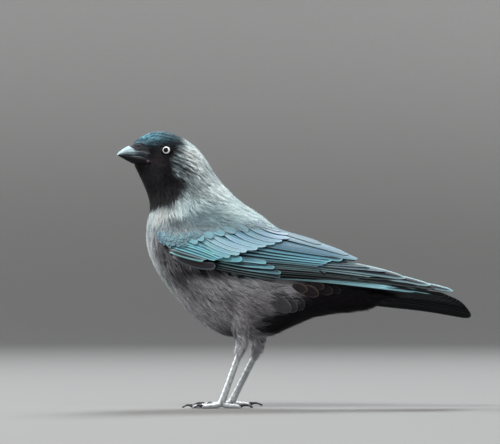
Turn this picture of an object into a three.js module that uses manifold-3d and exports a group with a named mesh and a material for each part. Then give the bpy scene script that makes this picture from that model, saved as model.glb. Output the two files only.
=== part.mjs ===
// A standing western jackdaw at life size, parted where a person would name the bird's parts.
// Millimetres, +Z up, the bill towards -X and the bird's left side towards -Y. It stands on z = 0.

import * as THREE from 'three';
import { ParametricGeometry } from 'three/addons/geometries/ParametricGeometry.js';
import { mergeVertices } from 'three/addons/utils/BufferGeometryUtils.js';
import Module from 'manifold-3d';

const wasm = await Module();
wasm.setup();

const { degToRad, lerp, clamp, smoothstep } = THREE.MathUtils;

// ---- driving dimensions ----

const gap = 0.3;                      // clearance between neighbouring pieces
const boxCentreX = 48.4;              // middle of the bird's length, where the part's origin is
const endless = 600;                  // edge of the boxes that cut a piece along a plane

const headTurn = degToRad( 15 );      // the head is turned to the bird's left
const neckAxisX = - 37;               // upright axis that the head turns about
const twistStart = 150;               // height where the neck starts to turn
const twistEnd = 192;                 // height where the turn is complete

const eyeRadius = 5.2;
const eyeCentre = { x: - 60.4, y: 11.8, z: 211 };   // in the unturned head, y to either side

// The closed tail: twist tips its left edge up, and arch is how far its middle stands above its
// edges. It thins from its root to its end by the factors in thin, and bluntness squares its edge.
const tail = { twist: degToRad( 18 ), arch: 2.2, thick: 2.4, thin: [ 1.3, 0.7 ], bluntness: 0.7, endDense: 1.5 };

// A layer of a wing is a lens: outer is the share of its thickness outside its middle, thinTo the
// share of its length over which it thins, and ends how thin its two ends are.
const plate = { outer: 0.35, thinTo: 0.77, ends: 0.35, endsBluntness: 0.4, bluntness: 0.6 };

const billRound = 0.28;               // how much wider a mandible is at its outer side than at its rim

const ankleOut = 18;                  // distance of an ankle from the middle plane
const footOut = 22;                   // distance of a foot from the middle plane

// Half sizes of the legs' pieces, fore-and-aft (deep) and across (wide), from their upper end to
// their lower one, with the other sizes that shape them.
const thigh = {
	deep: [ 17, 3.6 ], wide: [ 11, 3.2 ], taper: 0.8, length: 40, behind: - 2, inside: 2, shinHeight: 17,
};
const shank = { deep: 2.6, wide: 1.9, swell: 0.22, intoThigh: 3 };
const toe = { half: [ 2.3, 1.55 ], flatter: 0.94, pads: 3, padSwell: 0.07, rootHeight: 3.2, flatDepth: 0.35 };
const claw = { deep: [ 1.25, 0.3 ], wide: [ 0.95, 0.26 ], intoToe: 1.2, heights: [ 1.9, 2.7, 0.7 ] };

// Rings along each kind of piece, and sides around it.
const facets = {
	body: [ 30, 24 ], bill: [ 8, 10 ], eye: [ 12, 9 ], tail: [ 11, 12 ],
	thigh: [ 7, 10 ], shank: [ 6, 7 ], toe: [ 7, 6 ], claw: [ 5, 6 ],
};

// ---- the body's outline ----

// Slanting cuts through head, neck and trunk, from the bill's base to the end of the tail coverts:
// the point on the back, the point on the underside, the half width, and how far the widest
// place lies above (+) or below (-) the middle.
const bodyCuts = [
	{ top: [ - 86.5, 214.5 ], under: [ - 85, 198.5 ], half: 6, high: 0 },
	{ top: [ - 82.5, 218.5 ], under: [ - 82, 193.5 ], half: 10, high: 0.1 },
	{ top: [ - 69, 225.5 ], under: [ - 77, 183.5 ], half: 14.3, high: 0.2 },
	{ top: [ - 50.5, 224.5 ], under: [ - 73.5, 176.5 ], half: 16.8, high: 0.18 },
	{ top: [ - 30, 212 ], under: [ - 71, 169.5 ], half: 19.6, high: 0.08 },
	{ top: [ - 15, 190 ], under: [ - 70, 161.5 ], half: 25, high: 0 },
	{ top: [ 3, 170.5 ], under: [ - 73, 148.5 ], half: 34, high: 0 },
	{ top: [ 20.5, 158.5 ], under: [ - 72, 128.5 ], half: 39.5, high: 0 },
	{ top: [ 37, 146 ], under: [ - 61.5, 106 ], half: 40, high: 0.1 },
	{ top: [ 54, 137 ], under: [ - 41, 80.5 ], half: 37, high: 0.16 },
	{ top: [ 72, 129 ], under: [ - 12.5, 59 ], half: 32, high: 0.18 },
	{ top: [ 88.5, 119 ], under: [ 25.5, 56.5 ], half: 25.5, high: 0.14 },
	{ top: [ 103.5, 108 ], under: [ 60, 71.5 ], half: 18, high: 0 },
	{ top: [ 117, 98 ], under: [ 92, 78.5 ], half: 12, high: 0 },
	{ top: [ 126, 93 ], under: [ 110, 81.5 ], half: 7, high: 0 },
];

// Places along the list above where one named piece ends and the next begins.
const headEnds = 4;
const neckEnds = 5.45;
const trunkEnds = 11;

// ---- the folded wings ----

// The wings' outer surface is half an ellipse at each x: centre height, half height, half width.
const wingForm = along( [
	[ - 65, 137, 31.5, 26.5 ],
	[ - 45, 133, 38.5, 38.5 ],
	[ - 8, 126, 45, 43.5 ],
	[ 12, 118, 46.5, 43 ],
	[ 33, 114, 35, 39.5 ],
	[ 70, 110, 27, 31 ],
	[ 100, 103.5, 20.5, 25 ],
	[ 123, 99, 15.5, 21.5 ],
	[ 151, 95.5, 10, 17.5 ],
	[ 180, 92, 7.5, 13 ],
] );

// Three layers, each lying under the one before: how far it reaches, its upper and lower edges
// as seen from the side, and its depth below the outer surface and thickness at both ends.
const wingLayers = [
	{
		name: 'coverts', from: - 63, to: 45, sink: 0, thick: [ 6, 2.4 ], facets: [ 12, 10 ],
		upper: along( [ [ - 63, 145 ], [ - 50, 150.5 ], [ - 25, 154 ], [ 4, 155.5 ], [ 30, 150 ], [ 45, 141 ] ] ),
		lower: along( [ [ - 63, 140 ], [ - 56, 131 ], [ - 33, 116 ], [ - 19, 112 ], [ 4, 124 ], [ 45, 138 ] ] ),
	},
	{
		name: 'secondaries', from: - 16, to: 101, sink: 1.2, thick: [ 4, 1.6 ], facets: [ 10, 8 ],
		upper: along( [ [ - 16, 148 ], [ 22, 153 ], [ 53, 142 ], [ 81, 132.5 ], [ 101, 124 ] ] ),
		lower: along( [ [ - 16, 119 ], [ 22, 116.5 ], [ 68, 115 ], [ 92, 119.5 ], [ 101, 122 ] ] ),
	},
	{
		name: 'primaries', from: - 16, to: 178.5, sink: 2.4, thick: [ 3, 1.1 ], facets: [ 12, 8 ],
		upper: along( [ [ - 16, 118 ], [ 45, 121 ], [ 96, 125 ], [ 123, 114.5 ], [ 151, 105.2 ], [ 178.5, 98 ] ] ),
		lower: along( [ [ - 16, 112 ], [ 4, 105.5 ], [ 45, 99.5 ], [ 109, 101.5 ], [ 151, 101 ], [ 178.5, 96.6 ] ] ),
	},
];

// ---- bill, tail and legs ----

// The bill's edges as seen from the side, in the unturned head, and its half width.
const culmen = along( [ [ - 98.5, 207.4 ], [ - 96.5, 210.4 ], [ - 92, 213 ], [ - 87, 214.4 ], [ - 72, 213.5 ] ] );
const tomium = along( [ [ - 98.5, 206.4 ], [ - 92, 206.6 ], [ - 83.5, 206 ], [ - 77, 204.8 ], [ - 72, 202.5 ] ] );
const gonys = along( [ [ - 97.3, 205.4 ], [ - 92, 202.4 ], [ - 87, 199.8 ], [ - 82, 198 ], [ - 72, 196.5 ] ] );
const billHalf = along( [ [ - 98.5, 0.6 ], [ - 96.5, 1.7 ], [ - 92, 2.9 ], [ - 87, 4 ], [ - 72, 5.8 ] ] );
const billRootX = - 72;
const upperTipX = - 98.5;
const lowerTipX = - 97.3;

// The tail's middle line and half width.
const tailLine = along( [ [ 78, 93.5 ], [ 115, 91 ], [ 156, 87.4 ], [ 193.4, 80.6 ] ] );
const tailHalf = along( [ [ 78, 12 ], [ 110, 18.5 ], [ 150, 22 ], [ 183, 23 ], [ 190, 19.5 ], [ 193.4, 8 ] ] );
const tailFrom = 78;
const tailTo = 193.4;

// Each foot: the ankle and the place where the toes meet, with the toes' headings from straight
// ahead (outwards is positive), their lengths and those of the claws.
const legs = [
	{ side: 'left', out: - 1, ankleX: 5.5, ankleZ: 46, footX: - 11 },
	{ side: 'right', out: 1, ankleX: 19, ankleZ: 43.8, footX: - 3 },
];
const digits = [
	{ name: 'middle', heading: 4, length: 24, claw: 9 },
	{ name: 'inner', heading: - 24, length: 17.5, claw: 8 },
	{ name: 'outer', heading: 30, length: 18.5, claw: 8 },
	{ name: 'hind', heading: 176, length: 16, claw: 11 },
];

// ---- shared shapes ----

// A smooth curve through rows of [ place, value, value, ... ], as a function of the place.
function along( rows ) {

	const last = rows.length - 1;
	const slope = ( i, k ) => {

		const a = rows[ Math.max( i - 1, 0 ) ];
		const b = rows[ Math.min( i + 1, last ) ];
		return ( b[ k ] - a[ k ] ) / ( b[ 0 ] - a[ 0 ] );

	};

	return ( place ) => {

		const x = clamp( place, rows[ 0 ][ 0 ], rows[ last ][ 0 ] );
		let i = 0;
		while ( i < last - 1 && x > rows[ i + 1 ][ 0 ] ) i ++;
		const span = rows[ i + 1 ][ 0 ] - rows[ i ][ 0 ];
		const t = ( x - rows[ i ][ 0 ] ) / span;
		const values = rows[ i ].slice( 1 ).map( ( _, n ) => {

			const k = n + 1;
			const rise = slope( i, k ) * span * t * ( 1 - t ) ** 2;
			const fall = slope( i + 1, k ) * span * t * t * ( 1 - t );
			return lerp( rows[ i ][ k ], rows[ i + 1 ][ k ], t * t * ( 3 - 2 * t ) ) + rise - fall;

		} );
		return values.length === 1 ? values[ 0 ] : values;

	};

}

// Turns a point of the straight bird with its neck.
function turned( point ) {

	const angle = headTurn * smoothstep( point.z, twistStart, twistEnd );
	const x = point.x - neckAxisX;
	return point.set(
		neckAxisX + x * Math.cos( angle ) - point.y * Math.sin( angle ),
		x * Math.sin( angle ) + point.y * Math.cos( angle ),
		point.z,
	);

}

// A closed three.js geometry becomes a solid with its faces pointing out.
function toSolid( geometry ) {

	geometry.deleteAttribute( 'normal' );
	geometry.deleteAttribute( 'uv' );
	const merged = mergeVertices( geometry, 1e-3 );
	const position = merged.attributes.position;
	const corner = [ new THREE.Vector3(), new THREE.Vector3(), new THREE.Vector3() ];
	const triangles = [];
	let volume = 0;

	for ( let i = 0; i < merged.index.count; i += 3 ) {

		const ids = [ 0, 1, 2 ].map( ( k ) => merged.index.getX( i + k ) );
		if ( new Set( ids ).size < 3 ) continue;
		ids.forEach( ( id, k ) => corner[ k ].fromBufferAttribute( position, id ) );
		volume += corner[ 0 ].dot( corner[ 1 ].clone().cross( corner[ 2 ] ) );
		triangles.push( ids );

	}

	const triVerts = new Uint32Array( triangles.flatMap( ( ids ) => volume < 0 ? ids.reverse() : ids ) );
	const vertProperties = new Float32Array( position.array );
	return new wasm.Manifold( new wasm.Mesh( { numProp: 3, vertProperties, triVerts } ) );

}

// A closed skin over rings: ring( t, angle ) gives its points, and a fan closes each end.
function loft( [ rings, sides ], ring ) {

	const middle = ( t ) => {

		const sum = new THREE.Vector3();
		for ( let i = 0; i < sides; i ++ ) sum.add( ring( t, i / sides * 2 * Math.PI ) );
		return sum.divideScalar( sides );

	};

	return toSolid( new ParametricGeometry( ( u, v, target ) => {

		const row = Math.round( v * ( rings + 1 ) );
		const t = clamp( ( row - 1 ) / ( rings - 1 ), 0, 1 );
		const atEnd = row === 0 || row === rings + 1;
		target.copy( atEnd ? middle( t ) : ring( t, ( u % 1 ) * 2 * Math.PI ) );

	}, sides, rings + 1 ) );

}

// A round limb along a line of points: half sizes fore-and-aft and across at each t.
function limb( points, halves, pieceFacets, grow = 0 ) {

	const line = new THREE.CatmullRomCurve3( points );
	const level = new THREE.Vector3( 0, 0, 1 );
	return loft( pieceFacets, ( t, angle ) => {

		const ahead = line.getTangent( t );
		const across = new THREE.Vector3().crossVectors( ahead, level ).normalize();
		const up = new THREE.Vector3().crossVectors( across, ahead );
		const [ deep, wide ] = halves( t );
		const ends = t === 0 ? - grow : t === 1 ? grow : 0;
		return line.getPoint( t )
			.addScaledVector( ahead, ends )
			.addScaledVector( up, ( deep + grow ) * Math.cos( angle ) )
			.addScaledVector( across, ( wide + grow ) * Math.sin( angle ) );

	} );

}

// The half of space ahead of a plane, which stands upright across the bird at x, z.
function beyond( x, z, normalX, normalZ, offset ) {

	const turn = Math.atan2( normalX, normalZ );
	const reach = endless / 2 + offset;
	const box = new THREE.BoxGeometry( endless, endless, endless );
	box.rotateY( turn );
	box.translate( x + Math.sin( turn ) * reach, 0, z + Math.cos( turn ) * reach );
	return toSolid( box );

}

const without = ( solid, others ) => others.reduce( ( left, other ) => left.subtract( other ), solid );

// The largest closed body of a solid, so that no crumb of a cut stays.
const whole = ( solid ) => solid.decompose().sort( ( a, b ) => b.volume() - a.volume() )[ 0 ];

// ---- head, neck, trunk and rump ----

function bodySolid() {

	const backLine = new THREE.CatmullRomCurve3(
		bodyCuts.map( ( cut ) => new THREE.Vector3( ...cut.top, cut.half ) ), false, 'catmullrom' );
	const underLine = new THREE.CatmullRomCurve3(
		bodyCuts.map( ( cut ) => new THREE.Vector3( ...cut.under, cut.high ) ), false, 'catmullrom' );

	return loft( facets.body, ( t, angle ) => {

		const back = backLine.getPoint( t );
		const under = underLine.getPoint( t );
		const share = ( 1 + Math.cos( angle ) ) / 2;
		return turned( new THREE.Vector3(
			lerp( under.x, back.x, share ),
			back.z * Math.sin( angle ) * ( 1 + under.z * Math.cos( angle ) ),
			lerp( under.y, back.y, share ),
		) );

	} );

}

// The part of space on the tail's side of a cut, given by its place along bodyCuts.
function behindCut( place, offset ) {

	const a = bodyCuts[ Math.floor( place ) ];
	const b = bodyCuts[ Math.ceil( place ) ];
	const mix = place % 1;
	const [ topX, topZ ] = [ 0, 1 ].map( ( k ) => lerp( a.top[ k ], b.top[ k ], mix ) );
	const [ underX, underZ ] = [ 0, 1 ].map( ( k ) => lerp( a.under[ k ], b.under[ k ], mix ) );
	return beyond( ( topX + underX ) / 2, ( topZ + underZ ) / 2, topZ - underZ, underX - topX, offset );

}

// ---- bill and eyes ----

// One half of the bill between an upper and a lower edge, with its ridge narrower than its rim.
function billSolid( tipX, upper, lower, rimUp, grow ) {

	return loft( facets.bill, ( t, angle ) => {

		const x = lerp( tipX - grow, billRootX + grow, t * t * 0.5 + t * 0.5 );
		const share = ( 1 + Math.cos( angle ) ) / 2;
		const round = 1 + billRound * rimUp * Math.cos( angle );
		return turned( new THREE.Vector3(
			x,
			( billHalf( x ) + grow ) * Math.sin( angle ) * round,
			lerp( lower( x ) - grow, upper( x ) + grow, share ),
		) );

	} );

}

function eyeSolid( out, grow ) {

	const place = turned( new THREE.Vector3( eyeCentre.x, out * eyeCentre.y, eyeCentre.z ) );
	const ball = new THREE.SphereGeometry( eyeRadius + grow, ...facets.eye );
	ball.translate( place.x, place.y, place.z );
	return toSolid( ball );

}

// ---- wings and tail ----

// A sine or cosine drawn out towards 1 and -1, which squares off a rounded edge.
const blunt = ( value, power ) => Math.sign( value ) * Math.abs( value ) ** power;

// One layer of a wing: a thin lens of feathers over the wing's outer surface.
function wingSolid( layer, out, grow ) {

	const edgeAngle = ( x, z ) => {

		const [ centreZ, halfZ ] = wingForm( x );
		return Math.acos( clamp( ( z - centreZ ) / halfZ, - 0.98, 0.98 ) );

	};

	return loft( layer.facets, ( t, angle ) => {

		const x = lerp( layer.from - grow, layer.to + grow, t );
		const [ centreZ, halfZ, halfY ] = wingForm( x );
		const over = edgeAngle( x, layer.upper( x ) + grow );
		const below = edgeAngle( x, layer.lower( x ) - grow );
		const around = lerp( below, over, ( 1 - Math.cos( angle ) ) / 2 );
		const swell = lerp( plate.ends, 1, Math.sin( Math.PI * t ) ** plate.endsBluntness );
		const thick = lerp( ...layer.thick, Math.min( 1, t / plate.thinTo ) ) * swell;
		const bulge = blunt( Math.sin( angle ), plate.bluntness );
		const share = bulge > 0 ? plate.outer : 1 - plate.outer;
		const depth = layer.sink + plate.outer * thick - bulge * ( share * thick + grow );
		const normal = new THREE.Vector3( 0, out * Math.sin( around ) / halfY, Math.cos( around ) / halfZ ).normalize();
		return new THREE.Vector3( x, out * halfY * Math.sin( around ), centreZ + halfZ * Math.cos( around ) )
			.addScaledVector( normal, - depth );

	} );

}

// The closed tail: a flat arched fan, tipped about its own length.
function tailSolid( grow ) {

	return loft( facets.tail, ( t, angle ) => {

		const x = lerp( tailFrom - grow, tailTo + grow, 1 - ( 1 - t ) ** tail.endDense );
		const y = - Math.cos( angle ) * ( tailHalf( x ) + grow );
		const thick = ( tail.thick / 2 ) * lerp( ...tail.thin, t ) + grow;
		const z = blunt( Math.sin( angle ), tail.bluntness ) * thick - tail.arch * Math.cos( angle ) ** 2;
		return new THREE.Vector3(
			x,
			y * Math.cos( tail.twist ) + z * Math.sin( tail.twist ),
			tailLine( x ) - y * Math.sin( tail.twist ) + z * Math.cos( tail.twist ),
		);

	} );

}

// ---- legs ----

// The feathered thigh, from inside the belly down to the ankle.
function thighSolid( leg, grow ) {

	const ankle = new THREE.Vector3( leg.ankleX, leg.out * ankleOut, leg.ankleZ );
	const shin = ankle.clone().add( new THREE.Vector3( thigh.behind / 2, 0, thigh.shinHeight ) );
	const knee = ankle.clone().add( new THREE.Vector3( thigh.behind, - leg.out * thigh.inside, thigh.length ) );
	const halves = ( t ) => [ lerp( ...thigh.deep, t ** thigh.taper ), lerp( ...thigh.wide, t ** thigh.taper ) ];
	return limb( [ knee, shin, ankle ], halves, facets.thigh, grow );

}

// The place where a foot's toes meet, at a height above the ground.
const footPoint = ( leg, height ) => new THREE.Vector3( leg.footX, leg.out * footOut, height );

// The bare shank, a little thicker at the ankle and where the toes meet.
function shankSolid( leg ) {

	const ankle = new THREE.Vector3( leg.ankleX, leg.out * ankleOut, leg.ankleZ + shank.intoThigh );
	const foot = footPoint( leg, toe.rootHeight );
	const swell = ( t ) => 1 + shank.swell * ( ( 1 - t ) ** 6 + t ** 6 );
	const halves = ( t ) => [ shank.deep * swell( t ), shank.wide * swell( t ) ];
	return limb( [ ankle, ankle.clone().lerp( foot, 0.5 ), foot ], halves, facets.shank );

}

// The level direction in which a digit points.
function heading( leg, digit ) {

	const angle = degToRad( digit.heading );
	return new THREE.Vector3( - Math.cos( angle ), leg.out * Math.sin( angle ), 0 );

}

// A toe, highest where it leaves the shank, with a swollen pad under each joint. Its underside
// reaches below the ground by the depth of the flat that it rests on.
function toeSolid( leg, digit, grow ) {

	const way = heading( leg, digit );
	const root = footPoint( leg, toe.rootHeight );
	const tip = footPoint( leg, toe.half[ 1 ] - toe.flatDepth ).addScaledVector( way, digit.length );
	const bend = footPoint( leg, toe.half[ 0 ] - toe.flatDepth ).addScaledVector( way, digit.length * 0.3 );
	const halves = ( t ) => {

		const half = lerp( ...toe.half, t ) * ( 1 + toe.padSwell * Math.cos( 2 * Math.PI * toe.pads * t ) );
		return [ half, half * toe.flatter ];

	};
	return limb( [ root, bend, bend.clone().lerp( tip, 0.5 ), tip ], halves, facets.toe, grow );

}

// A claw, arched up from the toe and down to a point just above the ground.
function clawSolid( leg, digit, grow ) {

	const way = heading( leg, digit );
	const start = digit.length - claw.intoToe;
	const line = claw.heights.map( ( height, i ) =>
		footPoint( leg, height ).addScaledVector( way, start + digit.claw * i / 2 ) );
	const halves = ( t ) => [ lerp( ...claw.deep, t ), lerp( ...claw.wide, t ) ];
	return limb( line, halves, facets.claw, grow );

}

// ---- the finished bird ----

const colours = {
	blackFeather: { color: 0x1c1e22, roughness: 0.62, metalness: 0 },
	silverFeather: { color: 0x97a4a8, roughness: 0.72, metalness: 0 },
	greyFeather: { color: 0x55555a, roughness: 0.78, metalness: 0 },
	wingFeather: { color: 0x4e6a72, roughness: 0.48, metalness: 0 },
	flightFeather: { color: 0x2f3f47, roughness: 0.5, metalness: 0 },
	horn: { color: 0x43474a, roughness: 0.42, metalness: 0 },
	scaledLeg: { color: 0x6f7375, roughness: 0.5, metalness: 0 },
	eye: { color: 0xc9d3d2, roughness: 0.08, metalness: 0 },
};

const bird = new THREE.Group();
bird.position.x = - boxCentreX;

function addPiece( name, solid, colour ) {

	const { vertProperties, triVerts } = whole( solid ).getMesh();
	const geometry = new THREE.BufferGeometry();
	geometry.setAttribute( 'position', new THREE.BufferAttribute( vertProperties, 3 ) );
	geometry.setIndex( new THREE.BufferAttribute( triVerts, 1 ) );
	const mesh = new THREE.Mesh( geometry, new THREE.MeshStandardMaterial( colours[ colour ] ) );
	mesh.name = name;
	bird.add( mesh );

}

const sides = [ { side: 'left', out: - 1 }, { side: 'right', out: 1 } ];

// Pieces that the body is cut away for are collected in their grown form.
const inBody = [];

addPiece( 'bill_upper', billSolid( upperTipX, culmen, ( x ) => tomium( x ) + gap / 2, - 1, 0 ), 'horn' );
addPiece( 'bill_lower', billSolid( lowerTipX, ( x ) => tomium( x ) - gap / 2, gonys, 1, 0 ), 'horn' );
inBody.push( billSolid( upperTipX, culmen, tomium, - 1, gap ) );
inBody.push( billSolid( lowerTipX, tomium, gonys, 1, gap ) );

for ( const { side, out } of sides ) {

	addPiece( `eye_${ side }`, eyeSolid( out, 0 ), 'eye' );
	inBody.push( eyeSolid( out, gap ) );

}

for ( const { side, out } of sides ) {

	const above = [];
	for ( const layer of wingLayers ) {

		const colour = layer.name === 'coverts' ? 'wingFeather' : 'flightFeather';
		addPiece( `wing_${ side }_${ layer.name }`, without( wingSolid( layer, out, 0 ), above ), colour );
		above.push( wingSolid( layer, out, gap ) );

	}
	inBody.push( ...above );

}

addPiece( 'tail', tailSolid( 0 ), 'blackFeather' );
inBody.push( tailSolid( gap ) );

const aboveGround = beyond( 0, 0, 0, 1, 0 );

for ( const leg of legs ) {

	addPiece( `thigh_${ leg.side }`, thighSolid( leg, 0 ), 'greyFeather' );
	inBody.push( thighSolid( leg, gap ) );

	const foot = [];
	for ( const digit of digits ) {

		const solid = without( toeSolid( leg, digit, 0 ), [ ...foot, clawSolid( leg, digit, gap ) ] );
		addPiece( `toe_${ leg.side }_${ digit.name }`, solid.intersect( aboveGround ), 'scaledLeg' );
		addPiece( `claw_${ leg.side }_${ digit.name }`, clawSolid( leg, digit, 0 ), 'horn' );
		foot.push( toeSolid( leg, digit, gap ) );

	}
	addPiece( `tarsus_${ leg.side }`, without( shankSolid( leg ), [ thighSolid( leg, gap ), ...foot ] ), 'scaledLeg' );

}

const body = without( bodySolid(), inBody );
const behindHead = behindCut( headEnds, - gap / 2 );
const behindNeck = behindCut( neckEnds, - gap / 2 );
const behindTrunk = behindCut( trunkEnds, - gap / 2 );
addPiece( 'head', body.subtract( behindHead ), 'blackFeather' );
addPiece( 'neck', body.intersect( behindCut( headEnds, gap / 2 ) ).subtract( behindNeck ), 'silverFeather' );
addPiece( 'trunk', body.intersect( behindCut( neckEnds, gap / 2 ) ).subtract( behindTrunk ), 'greyFeather' );
addPiece( 'rump', body.intersect( behindCut( trunkEnds, gap / 2 ) ), 'greyFeather' );

export default bird;
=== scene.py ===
import math

import bmesh
import bpy
import numpy as np
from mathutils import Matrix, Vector
from mathutils.bvhtree import BVHTree
from mathutils.kdtree import KDTree


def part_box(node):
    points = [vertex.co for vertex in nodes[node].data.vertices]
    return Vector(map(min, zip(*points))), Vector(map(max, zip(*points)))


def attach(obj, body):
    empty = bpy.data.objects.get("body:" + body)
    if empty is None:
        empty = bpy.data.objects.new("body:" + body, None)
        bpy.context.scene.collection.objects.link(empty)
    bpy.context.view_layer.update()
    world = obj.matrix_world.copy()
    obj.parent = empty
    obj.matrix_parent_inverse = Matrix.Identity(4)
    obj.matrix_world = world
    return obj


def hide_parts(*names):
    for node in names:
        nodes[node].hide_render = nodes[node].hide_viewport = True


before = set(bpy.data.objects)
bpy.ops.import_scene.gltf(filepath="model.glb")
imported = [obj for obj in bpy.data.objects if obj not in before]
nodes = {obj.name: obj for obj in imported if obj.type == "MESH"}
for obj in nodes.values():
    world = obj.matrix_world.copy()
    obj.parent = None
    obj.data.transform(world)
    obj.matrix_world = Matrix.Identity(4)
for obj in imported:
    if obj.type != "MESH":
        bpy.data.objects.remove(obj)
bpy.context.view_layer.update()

mm = 0.001
scene = bpy.context.scene
sides = {"left": -1, "right": 1}
toeNames = ["middle", "inner", "outer", "hind"]

# The bird is laid out in millimetres: x towards the tail, z up, y to its right, with the legs near x = 0.
bird = {
    "middle": 48.4,             # the frame's origin along x
    "headTurn": math.radians(15),
    "neckAxis": -37.0,          # x of the upright line that the head turns about
    "twistStart": 150.0,        # the neck takes up the turn between these heights
    "twistEnd": 192.0,
    "seed": 7,
}


def toWorld(points):
    return (np.asarray(points, float) - (bird["middle"], 0, 0)) * mm


def toBird(points):
    return np.asarray(points, float) / mm + (bird["middle"], 0, 0)


def smoothStep(value, low, high):
    t = np.clip((value - low) / (high - low), 0, 1)
    return t * t * (3 - 2 * t)


def between(pair, share):
    return pair[0] + (pair[1] - pair[0]) * share


def spun(x, y, angle):
    return x * np.cos(angle) - y * np.sin(angle), x * np.sin(angle) + y * np.cos(angle)


def neckTurn(points):  # how far each place has turned with the head
    return bird["headTurn"] * smoothStep(points[..., 2], bird["twistStart"], bird["twistEnd"])


def turnHead(points, back=False):  # turns straight-bird millimetres with the neck, or back
    p = np.array(points, float)
    angle = -neckTurn(p) if back else neckTurn(p)
    x, y = spun(p[..., 0] - bird["neckAxis"], p[..., 1], angle)
    p[..., 0] = x + bird["neckAxis"]
    p[..., 1] = y
    return p


def straightened(world):  # millimetres of the bird with its head turned straight ahead
    return turnHead(toBird(world), back=True)


def curveThrough(rows):  # a smooth function through rows of (place, value, ...)
    rows = np.array(rows, float)
    place, values = rows[:, 0], rows[:, 1:]
    ahead = np.concatenate([np.arange(1, len(rows)), [len(rows) - 1]])
    behind = np.concatenate([[0], np.arange(len(rows) - 1)])
    slope = (values[ahead] - values[behind]) / (place[ahead] - place[behind])[:, None]

    def at(x):
        x = np.clip(np.asarray(x, float), place[0], place[-1])
        i = np.clip(np.searchsorted(place, x, side="right") - 1, 0, len(rows) - 2)
        span = (place[i + 1] - place[i])[..., None]
        t = (x[..., None] - place[i][..., None]) / span
        level = values[i] + (values[i + 1] - values[i]) * t * t * (3 - 2 * t)
        out = level + slope[i] * span * t * (1 - t) ** 2 - slope[i + 1] * span * t * t * (1 - t)
        return out[..., 0] if out.shape[-1] == 1 else out

    return at


def waves(points, size, seed):  # smooth noise of about -1 to 1 over bird millimetres, from six sine waves
    rng = np.random.default_rng(seed)
    total = 0
    for k in range(6):
        way = rng.normal(size=3)
        way /= np.linalg.norm(way)
        pitch = size * rng.uniform(0.6, 1.6)
        total = total + np.sin(points @ way * (2 * math.pi / pitch) + rng.uniform(0, 6.28))
    return total / 3.2


def srgb(red, green, blue):  # screen colour, 0 to 255, as linear light
    c = np.array([red, green, blue], float) / 255
    return np.where(c < 0.04045, c / 12.92, ((c + 0.055) / 1.055) ** 2.4)


def blend(a, b, mask):
    return a + (np.asarray(b) - a) * mask[:, None]


def unit(vectors):
    return vectors / np.maximum(np.linalg.norm(vectors, axis=-1, keepdims=True), 1e-12)


def placesOf(verts):
    return np.array([v.co for v in verts])


def normalsOf(bm):
    bm.normal_update()
    return np.array([v.normal for v in bm.verts])


def movePoints(bm, places):
    for vert, place in zip(bm.verts, places):
        vert.co = place


def newObject(name, bm):
    mesh = bpy.data.meshes.new(name)
    bm.to_mesh(mesh)
    bm.free()
    mesh.shade_smooth()
    made = bpy.data.objects.new(name, mesh)
    scene.collection.objects.link(made)
    return made


def giveColour(mesh, name, values):
    values = np.concatenate([values, np.ones((len(values), 1))], 1)
    made = mesh.attributes.new(name, "FLOAT_COLOR", "POINT")
    made.data.foreach_set("color", values.astype(np.float32).ravel())


def giveValue(mesh, name, values):
    made = mesh.attributes.new(name, "FLOAT", "POINT")
    made.data.foreach_set("value", np.asarray(values, np.float32))


def wearPiece(piece, material, replaced=()):
    piece.data.materials.append(material)
    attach(piece, "root")
    if replaced:
        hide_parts(*replaced)


# Materials are built from sockets that behave as numbers do, and from one method that adds any other node.

class Wire:
    def __init__(self, shader, socket):
        self.shader, self.socket = shader, socket

    def maths(self, operation, *values):
        return self.shader.add("ShaderNodeMath", {"operation": operation}, dict(enumerate(values)))

    def __add__(self, other):
        return self.maths("ADD", self, other)

    def __sub__(self, other):
        return self.maths("SUBTRACT", self, other)

    def __rsub__(self, other):
        return self.maths("SUBTRACT", other, self)

    def __mul__(self, other):
        return self.maths("MULTIPLY", self, other)

    def wave(self):
        return self.maths("SINE", self)

    def size(self):
        return self.maths("ABSOLUTE", self)

    def over(self, low, high):  # 0 below low, 1 above high
        inputs = {"Value": self, "From Min": low, "From Max": high}
        return self.shader.add("ShaderNodeMapRange", {"interpolation_type": "SMOOTHSTEP"}, inputs)


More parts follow.
